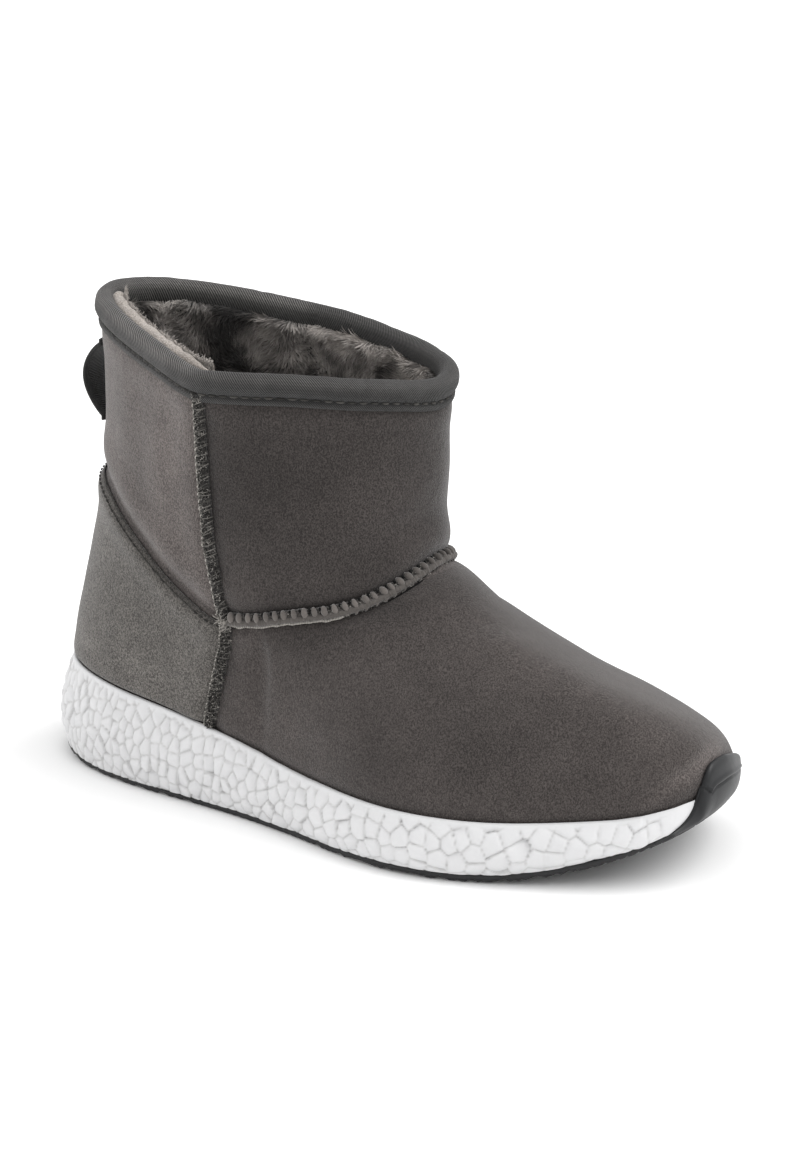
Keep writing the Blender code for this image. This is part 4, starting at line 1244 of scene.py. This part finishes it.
foam_round = np.linspace(0, 1, FOAM_COLUMNS + 1)
shares = np.linspace(0, 1, FOAM_ROWS)
side = closed(np.stack([side_point(foam_round, np.full(len(foam_round), s)) for s in shares]))
belt = side[FOAM_ROWS // 2]
run = np.concatenate([[0], np.cumsum(np.linalg.norm(np.diff(belt, axis=0), axis=1))])
climb = np.linalg.norm(np.diff(side, axis=0), axis=-1)
tall = np.concatenate([np.zeros((1, len(foam_round))), np.cumsum(climb, axis=0)])
across_belt = np.broadcast_to(run, tall.shape)
share_of_length = np.clip(belt[:, 0] / LENGTH, 0, 1)
cell_at, *cell_sizes = zip(*CELLS)
cell_width, cell_height = (np.interp(share_of_length, cell_at, size) * MM for size in cell_sizes)
print("side of the sole, mm round:", round(run[-1] * 1000), "tall:",
      (tall[-1].min() * 1000).round(1), "to", (tall[-1].max() * 1000).round(1))


def scatter_cells():
    """Centres no nearer than a cell's size, drawn one after another."""
    draw = np.random.default_rng(23)
    centres = np.zeros((0, 2))
    for spacing in (0.92, 0.80, 0.70, 0.62):
        tries = draw.random((3600, 2)) * [run[-1], 0.052] - [0, 0.003]
        for spot in tries:
            column = np.searchsorted(run, spot[0]) - 1
            size = np.array([cell_width[column], cell_height[column]])
            if spot[1] > tall[-1, column] + 3 * MM:
                continue
            offset = np.abs(centres - spot)
            offset[:, 0] = np.minimum(offset[:, 0], run[-1] - offset[:, 0])
            if len(centres) == 0 or (np.linalg.norm(offset / size, axis=1) > spacing).all():
                centres = np.vstack([centres, spot])
    return centres


centres = scatter_cells()
wrapped = np.concatenate([centres - [run[-1], 0], centres, centres + [run[-1], 0]])
own = np.tile(np.arange(len(centres)), 3)
near = np.abs(wrapped[:, 0] - run[-1] / 2) < run[-1] / 2 + 20 * MM
wrapped, own = wrapped[near], own[near]
print("pebbles:", len(centres))


def chart(column):
    """For a column of the side: distance to the groove, and the offset from the cell's centre."""
    spots = np.stack([across_belt[:, column], tall[:, column]], axis=-1)
    size = np.array([cell_width[column], cell_height[column]])
    close = np.nonzero(np.abs(wrapped[:, 0] - run[column]) < 22 * MM)[0]
    offset = (spots[:, None] - wrapped[close]) / size
    far = np.einsum("ijk,ijk->ij", offset, offset)
    order = np.argsort(far, axis=1)[:, :3]
    nearest = np.take_along_axis(far, order, axis=1)
    seeds = wrapped[close][order] / size
    spread = np.linalg.norm(seeds[:, 1:] - seeds[:, :1], axis=-1)
    border = ((nearest[:, 1:] - nearest[:, :1]) / (2 * spread)).min(axis=1) * size.mean()
    first = close[order[:, 0]]
    return border, (spots - wrapped[first]), own[first]


charted = [chart(column) for column in range(FOAM_COLUMNS)]
charted.append(charted[0])
border, offset, cell = (np.stack(part, axis=1) for part in zip(*charted))
draw = np.random.default_rng(5)
tilt = draw.normal(0, 0.115, (len(centres), 2))
raise_by = draw.normal(0, 0.12 * MM, len(centres))
firm = np.interp(share_of_length, [0, 0.5, 0.8, 1], [1, 0.95, 0.8, 0.65])
groove = np.exp(-(border / GROOVE) ** 2)
crown = np.clip(border / (2.6 * MM), 0, 1)
domed = DOME * (1 - (1 - crown) ** 2)
pebbles = domed + raise_by[cell] + (offset * tilt[cell]).sum(axis=-1) - 0.28 * MM * groove
band = ease((tall[-1] - tall) / (2.6 * MM)) * ease(tall / (1.2 * MM) + 0.4)
smooth_toe = 1 - 0.85 * ease((BUMPER_REACH + 0.004 - np.abs(foam_round - TOE_TIP)) / 0.012)
pebbles = (pebbles - 0.55 * MM) * band * firm * smooth_toe
groove = groove * band * firm * smooth_toe

# %% Mould the sole
side_out = closed(unit(np.cross(np.gradient(side, axis=1), np.gradient(side, axis=0))))
swell = 0.25 * MM * sample_noise(side, 0.02)
moulded = closed(side + side_out * (pebbles + swell)[..., None])
cup_up = rim_up(foam_round)
lip = lifted(foam_round, cup_up, GAP + RIM_WALL * 0.35) + [0, 0, 0.35 * MM]
cup = [lifted(foam_round, cup_up * share, GAP) for share in (0.97, 0.5, 0.12)]
cup = closed(np.stack([lip] + cup))


def across_rungs(ring, steps):
    """A grid that closes a ring, from its outer to its inner side."""
    half = (len(ring) - 1) // 2
    first, second = ring[:half + 1], ring[::-1][:half + 1]
    share = np.linspace(0, 1, steps)[:, None, None]
    return first * (1 - share) + second * share


# the grooves between the pebbles are painted darker, as painted shade
painted_groove_shade = np.concatenate([groove, np.zeros(cup.shape[:2])])
skin("foam_sole", [np.concatenate([moulded, cup]), across_rungs(moulded[0], 3),
                   across_rungs(cup[-1], 3)], foam, "midsole", painted_groove_shade)

# %% [markdown]
# ## The rubber outsole
# A thin black sole is glued under the foam. Across its tread run the main grooves that the solid
# has, and between them finer ones, which show as notches along its edge. At the toe the same
# rubber is drawn up into a bumper, with a crease across it and a thin lip where it ends.

# %% Cut the tread
TREAD_GROOVES = ((0.06, 0.27, 6), (0.50, 0.85, 10))
FINE_PITCH = 3.6 * MM


def tread(x, y):
    """Depth of the tread's pattern at a place under the sole."""
    deep = np.zeros(np.shape(x))
    for start, end, count in TREAD_GROOVES:
        for at in np.linspace(start, end, count) * LENGTH:
            deep = np.maximum(deep, 1.1 * MM * ease((1.9 * MM - np.abs(x - at)) / (0.7 * MM)))
    zigzag = x + 2.2 * MM * np.abs((y / (9 * MM)) % 2 - 1)
    fine = 0.55 * MM * ease((np.cos(zigzag / FINE_PITCH * 2 * math.pi) - 0.45) / 0.3)
    lanes = 0.9 * MM * ease((np.cos(y / (18 * MM) * 2 * math.pi) - 0.955) / 0.03)
    shaped = np.where((x > 0.30 * LENGTH) & (x < 0.45 * LENGTH), 0.35, 1.0)
    return np.maximum(deep, np.maximum(fine, lanes) * shaped)


RUBBER_COLUMNS = 640
sole_round = np.linspace(0, 1, RUBBER_COLUMNS + 1)
away = outward(sole_round)
edge = side_point(sole_round, np.zeros(len(sole_round)), recess(sole_round))
edge[:, 2] = rubber_top(edge[:, 0]) + 0.25 * MM
edge_tread = tread(edge[:, 0], edge[:, 1])[:, None]


def sole_ring(inset, share_up):
    ring = edge - away * inset
    low = ground_height(ring[:, 0])[:, None] + edge_tread * (1 - share_up)
    ring[:, 2:] = low + (edge[:, 2:] - low) * share_up
    return ring


under = sole_ring(1.2 * MM, 0.0)
rim_rows = [under, sole_ring(0.5 * MM, 0.10), sole_ring(0.1 * MM, 0.32), sole_ring(0.0, 0.6),
            sole_ring(0.0, 0.9), sole_ring(0.4 * MM, 1.0), sole_ring(2.5 * MM, 1.0)]
rim_rows = closed(np.stack(rim_rows))
bottom = across_rungs(rim_rows[0], 50)
body = ground_height(bottom[..., 0]) + tread(bottom[..., 0], bottom[..., 1])
bottom[1:-1, 1:-1, 2] = body[1:-1, 1:-1]
skin("rubber_outsole", [rim_rows, bottom, across_rungs(rim_rows[-1], 3)], rubber,
     "outsole")

# %% Draw up the bumper
# share of the way round from the tip towards the outer side, top as a share of the full lap
BUMPER_EDGE = (
    (-0.070, 0.0), (-0.058, 0.12), (-0.046, 0.36), (-0.036, 0.56), (-0.020, 0.78),
    (-0.010, 0.93), (0.0, 1.08), (0.005, 1.15), (0.010, 1.23), (0.015, 1.27), (0.020, 1.30),
    (0.0265, 1.30), (0.030, 1.24), (0.0325, 1.15), (0.035, 1.02), (0.0375, 0.90), (0.040, 0.75),
    (0.0425, 0.60), (0.045, 0.50), (0.050, 0.38), (0.055, 0.28), (0.0625, 0.14), (0.070, 0.0),
)
BUMPER_CREASE = 0.665
bumper_round = np.linspace(TOE_TIP - BUMPER_REACH, TOE_TIP + BUMPER_REACH, 181)
from_tip = TOE_TIP - bumper_round
foot_x = foot_line(bumper_round)[:, 0]
slab = rubber_top(foot_x)
full = smooth_height("rim", foot_x) + BUMPER_LAP - slab
lap = sum(np.interp(from_tip + shift, *np.array(BUMPER_EDGE).T) for shift in (-0.001, 0, 0.001)) / 3
lap = lap * ease((BUMPER_REACH - np.abs(from_tip)) / 0.012)
top = slab + full * lap
thick = BUMPER_THICKNESS * (0.35 + 0.65 * ease(lap / 0.8))
foot_edge = side_point(bumper_round, np.zeros(len(bumper_round)), recess(bumper_round) + 0.2 * MM)
foot_edge[:, 2] = ground_height(foot_edge[:, 0]) + 0.9 * MM
hip = cover_point(bumper_round, slab + (top - slab) * 0.45, BUMPER_GAP + thick + 0.5 * MM)
brow = cover_point(bumper_round, top, BUMPER_GAP + thick * 0.85)
rows = []
for share in np.linspace(0, 1, 56):
    body = through(foot_edge, hip, brow, share)
    line = BUMPER_CREASE + 0.33 * ease((from_tip - 0.031) / 0.007)
    crease = bell(share - line, 0.016) * 0.85 - bell(share - line - 0.06, 0.04) * 0.40
    rounded = thick * 0.85 * (1 - np.sqrt(1 - np.clip((share - 0.90) / 0.10, 0, 1) ** 2))
    sink = (crease * MM * ease(lap / 0.5) + rounded)[:, None]
    rows.append(body - outward(bumper_round) * sink)
for share in np.linspace(1, 0, 12):
    rows.append(cover_point(bumper_round, slab + (top - slab) * share,
                            np.full(len(bumper_round), BUMPER_GAP * 0.6)))
under_edge = foot_edge - outward(bumper_round) * 2.0 * MM
rows += [under_edge, rows[0]]
rows = np.stack(rows)
skin("toe_bumper", [rows] + end_caps(rows), bumper_rubber, "outsole")

# %% [markdown]
# ## The plush inside
# The boot is lined with thick fur of mottled grey, and so is its foot bed. A lumpy ground closes
# the inside, so no light comes through. Over it stand tens of thousands of flat tapering locks.
# They lean down and sideways with a slow swirl, gather into clumps, and take their tone from a
# cloudy map and a table of patches: mottled grey, with painted shade in the dark hollows and
# painted highlights on the pale crests.

# %% The ground of the lining
INSOLE_THICKNESS = 5 * MM
PILE_DEPTH = 2.2 * MM
lining_round = np.linspace(0, 1, 241)
first = up_at_height(lining_round, smooth_height("bed", foot_line(lining_round)[:, 0])
                     + INSOLE_THICKNESS * 0.5)
last = up_below_collar(lining_round, 3.0 * MM)
level = first + (last - first) * np.linspace(0, 1, 44)[:, None]
wide = np.broadcast_to(lining_round, level.shape)
ground = face(wide, level)
lump = 0.5 + 0.5 * sample_noise(ground, 0.010)
fade = ease((last - level) / 0.12)
inner = lifted(wide, level, -WALL - 0.2 * MM - PILE_DEPTH * (0.25 + 0.75 * lump) * fade)
outer = lifted(wide, level, -WALL + 0.7 * MM)
shell = closed(np.concatenate([inner, outer[::-1], inner[:1]]))
skin("lining_ground", [shell], pile_ground)

bed_round = np.linspace(0, 1, 241)
bed = smooth_height("bed", foot_line(bed_round)[:, 0])
rings = []
for thickness, inset in ((0.3 * MM, 0.8 * MM), (3.0 * MM, 0.8 * MM), (INSOLE_THICKNESS, 1.6 * MM)):
    ring = lifted(bed_round, up_at_height(bed_round, bed + thickness), -WALL - inset)
    ring[:, 2] = bed + thickness
    rings.append(ring)
rings = closed(np.stack(rings))
crown = across_rungs(rings[-1], 60)
crown[1:-1, 1:-1, 2] += 1.1 * MM * (1 + sample_noise(crown[1:-1, 1:-1], 0.009))
insole = skin("insole_pile", [rings, crown, across_rungs(rings[0], 3)], pile_ground, "insole")


# %% Locks of fur
COLLAR_ROUND = 440       # mm round the inside of the collar
FLEECE_SPAN = (0.005, 0.215)
FLEECE_STEPS = 160
FLEECE_LOCKS = 7000
BED_LOCKS = 7000
# around, depth in mm, half length in mm, half depth in mm, share lighter (negative for painted
# shade in a hollow, positive for a painted highlight on a crest)
FUR_TONES = (
    (0.885, 15, 9, 15, -0.55), (0.865, 28, 9, 8, -0.45), (0.935, 6, 12, 5, 0.18),
    (0.828, 10, 8, 8, 0.30), (0.828, 19, 7, 6, 0.18), (0.808, 25, 6, 5, -0.40),
    (0.765, 17, 4, 6, -0.40), (0.790, 6, 10, 4, 0.22), (0.720, 5, 13, 5, 0.34),
    (0.656, 6, 9, 6, 0.36), (0.703, 15, 6, 4, -0.30), (0.607, 2, 6, 5, 0.50),
    (0.97, 12, 8, 9, -0.30), (0.10, 14, 14, 7, -0.30), (0.30, 12, 16, 8, 0.16),
    (0.42, 14, 10, 8, -0.25),
)


def grow_on_wall(name, span, count, deepest, highest, length, width, seed):
    """Locks on the inner wall over a span of the way round, between two depths."""
    draw = np.random.default_rng(seed)
    around = span[0] + (span[1] - span[0]) * draw.random(count)
    cut_edge = np.clip(bell(around - 0.13, 0.10) + 0.8 * bell(around - 0.43, 0.05), 0, 1)
    wavy = 1.3 * sample_noise(face(around, 2.0), 0.012)
    border = (4.6 - 3.2 * cut_edge + wavy) * MM
    top_edge = np.maximum(highest, border)
    depth = top_edge + (deepest - top_edge) * draw.random(count)
    up = up_below_collar(around, depth)
    roots = lifted(around, up, np.where(depth < 6.5 * MM, -4.9 * MM, -WALL - 0.3 * MM))
    inward = -face_normal(around, up)
    run = unit(face(around + 0.004, up) - face(around - 0.004, up))
    swirl = (sample_noise(roots, 0.022) * 3.6 + sample_noise(roots, 0.009) * 1.3)[:, None]
    down = np.array([0, 0, -1.0])
    high = (ease((12 * MM - depth) / (9 * MM)) * (0.35 + 0.65 * cut_edge))[:, None]
    flow = unit(down * np.cos(swirl) + run * np.sin(swirl)) * (0.8 - 0.6 * high)
    flow = flow - down * 0.9 * high
    clump = np.stack([sample_noise(roots + shift, 0.005) for shift in (0.1, 0.2, 0.3)], axis=1)
    tone = 0.41 + 0.32 * sample_noise(roots, 0.019) + 0.38 * sample_noise(roots, 0.0065)
    # painted shade in the hollows and painted highlights on the crests, from the table
    for at, deep, half_length, half_depth, lighter in FUR_TONES:
        apart = ((around - at + 0.5) % 1 - 0.5) * COLLAR_ROUND / half_length
        tone += lighter * np.exp(-apart ** 2 - ((depth / MM - deep) / half_depth) ** 2)
    tone = np.clip(tone + draw.normal(0, 0.06, count), 0.05, 0.86)
    tone = tone + 0.55 * cut_edge * ease((7 * MM - depth) / (4 * MM))
    locks(name, roots, inward, flow + clump * 0.5, length, width, np.clip(tone, 0, 1), pile,
          seed + 1)


around = np.linspace(*FLEECE_SPAN, FLEECE_STEPS)
fade = ease((around - FLEECE_SPAN[0]) / 0.03) * ease((FLEECE_SPAN[1] - around) / 0.05)
turn = np.linspace(0, 2 * math.pi, 19)[:, None]
bulge = (2.6 * fade * (1 + 0.22 * sample_noise(face(around, 2.0), 0.004)) + 0.1) * MM
drop = 0.8 * MM + 1.1 * bulge * np.cos(turn)
edge_ring = lifted(np.broadcast_to(around, drop.shape), up_below_collar(around, drop),
                   -6.2 * MM + bulge * np.sin(turn))
edge_ring[-1] = edge_ring[0]
skin("fleece_edge", [edge_ring] + end_caps(edge_ring), fleece)
around = 0.01 + 0.20 * chance.random(FLEECE_LOCKS)
depth = (0.4 + chance.normal(0, 1.1, FLEECE_LOCKS)) * MM
roots = lifted(around, up_below_collar(around, depth), -8.1 * MM)
flow = [0, 0, 0.9] + chance.normal(0, 0.6, (FLEECE_LOCKS, 3))
locks("fleece_nap", roots, -face_normal(around, 1.95), flow, 1.1 * MM, 0.30 * MM,
      chance.uniform(0.80, 1.0, FLEECE_LOCKS), pile, 51)

grow_on_wall("fur_collar_outer", (0.0, 0.5), 26000, 34 * MM, 0, 5.2 * MM, 0.42 * MM, 31)
grow_on_wall("fur_collar_inner", (0.5, 1.0), 46000, 36 * MM, 0, 5.2 * MM, 0.42 * MM, 33)
grow_on_wall("fur_shaft", (0.0, 1.0), 14000, 84 * MM, 33 * MM, 7.0 * MM, 0.9 * MM, 37)

draw = np.random.default_rng(41)
spots = draw.random((BED_LOCKS, 2))
first_side = lifted(spots[:, 0] / 2, 0.06, -WALL - 3 * MM)
second_side = lifted(1 - spots[:, 0] / 2, 0.06, -WALL - 3 * MM)
roots = first_side + (second_side - first_side) * spots[:, 1:]
roots[:, 2] = smooth_height("bed", roots[:, 0]) + INSOLE_THICKNESS + 0.6 * MM
upright = np.tile([0.0, 0.0, 1.0], (BED_LOCKS, 1))
flow = np.stack([sample_noise(roots + s, 0.02) for s in (0.1, 0.5, 0.9)], axis=1) * 1.4
tone = np.clip(0.4 + 0.7 * sample_noise(roots, 0.018), 0.05, 0.85)
locks("fur_bed", roots, upright, flow, 7 * MM, 1.1 * MM, tone, pile, 43)
print("triangles in all:", sum(made_pieces))

# %% [markdown]
# ## Floor, light and camera
# A white floor under broad, soft light: most of it comes from everywhere, a wide key light
# stands to the right and a little behind, and a weaker one fills in from the left. The lights are
# suns with a very wide disc, because they light the whole floor evenly and still cast a soft
# shadow. The floor glows a little where nothing is near, so that its shadows stay close.

# %% Stage
FLOOR_GLOW = 0.20
SKY_LIGHT = 0.80
bpy.ops.mesh.primitive_plane_add(size=30, location=(0, 0, 0))
floor = bpy.context.object
floor.name = "floor"
white, tree, shader = new_material("floor_white", Roughness=0.9, Specular_IOR_Level=0.1)
speck = use_group(tree, "clouds", place_on(tree), Scale=0.5, Amount=0.01)
paint(tree, shader, (0.92, 0.92, 0.92), speck["Factor"])
open_air = add_node(tree, "AmbientOcclusion", {"Distance": 0.030}, samples=8)
glow = maths(tree, "MULTIPLY", maths(tree, "POWER", open_air.outputs["AO"], 2.0), FLOOR_GLOW)
shader.inputs["Emission Color"].default_value = (1, 1, 1, 1)
tree.links.new(glow, shader.inputs["Emission Strength"])
floor.data.materials.append(white)
floor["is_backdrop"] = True

world = bpy.data.worlds.new("soft_room")
bpy.context.scene.world = world
world.use_nodes = True
background = world.node_tree.nodes["Background"].inputs
background["Color"].default_value = (1, 1, 1, 1)
background["Strength"].default_value = SKY_LIGHT


def direction(azimuth, elevation):
    """From the boot towards a light or the camera: azimuth 0 is -Y, 90 is +X."""
    a, e = math.radians(azimuth), math.radians(elevation)
    return Vector((math.sin(a) * math.cos(e), -math.cos(a) * math.cos(e), math.sin(e)))


def add_sun(name, azimuth, elevation, strength, width):
    light = bpy.data.lights.new(name, "SUN")
    light.energy = strength
    light.angle = math.radians(width)
    lamp = bpy.data.objects.new(name, light)
    bpy.context.collection.objects.link(lamp)
    back = direction(azimuth, elevation)
    lamp.rotation_mode = "QUATERNION"
    lamp.rotation_quaternion = back.to_track_quat("Z", "Y")
    lamp.location = back * 3


add_sun("key_right", 118, 52, 1.9, 45)
add_sun("fill_left", -72, 34, 0.75, 60)
bpy.context.scene.view_settings.view_transform = "Standard"

# %% Camera
CAMERA_AZIMUTH = 31.0
CAMERA_ELEVATION = 22.5
DISTANCE = 1.400
LENS = 118.0
AIM_RIGHT = 18.3 * MM
AIM_UP = 23.2 * MM
back = direction(CAMERA_AZIMUTH, CAMERA_ELEVATION)
pivot = Vector((0.120, 0.0, 0.060)) + Vector(STAND)
sideways = direction(CAMERA_AZIMUTH + 90, 0)
aim = pivot + sideways * AIM_RIGHT + back.cross(sideways) * AIM_UP
camera_data = bpy.data.cameras.new("camera")
camera_data.lens = LENS
camera_data.sensor_width = 36
camera = bpy.data.objects.new("camera", camera_data)
bpy.context.collection.objects.link(camera)
camera.location = pivot + back * DISTANCE
camera.rotation_mode = "QUATERNION"
camera.rotation_quaternion = (camera.location - aim).to_track_quat("Z", "Y")
bpy.context.scene.camera = camera

# %% [markdown]
# ## Finish
# The box of everything shown is measured at the end.

# %% Size and finish
low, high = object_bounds()
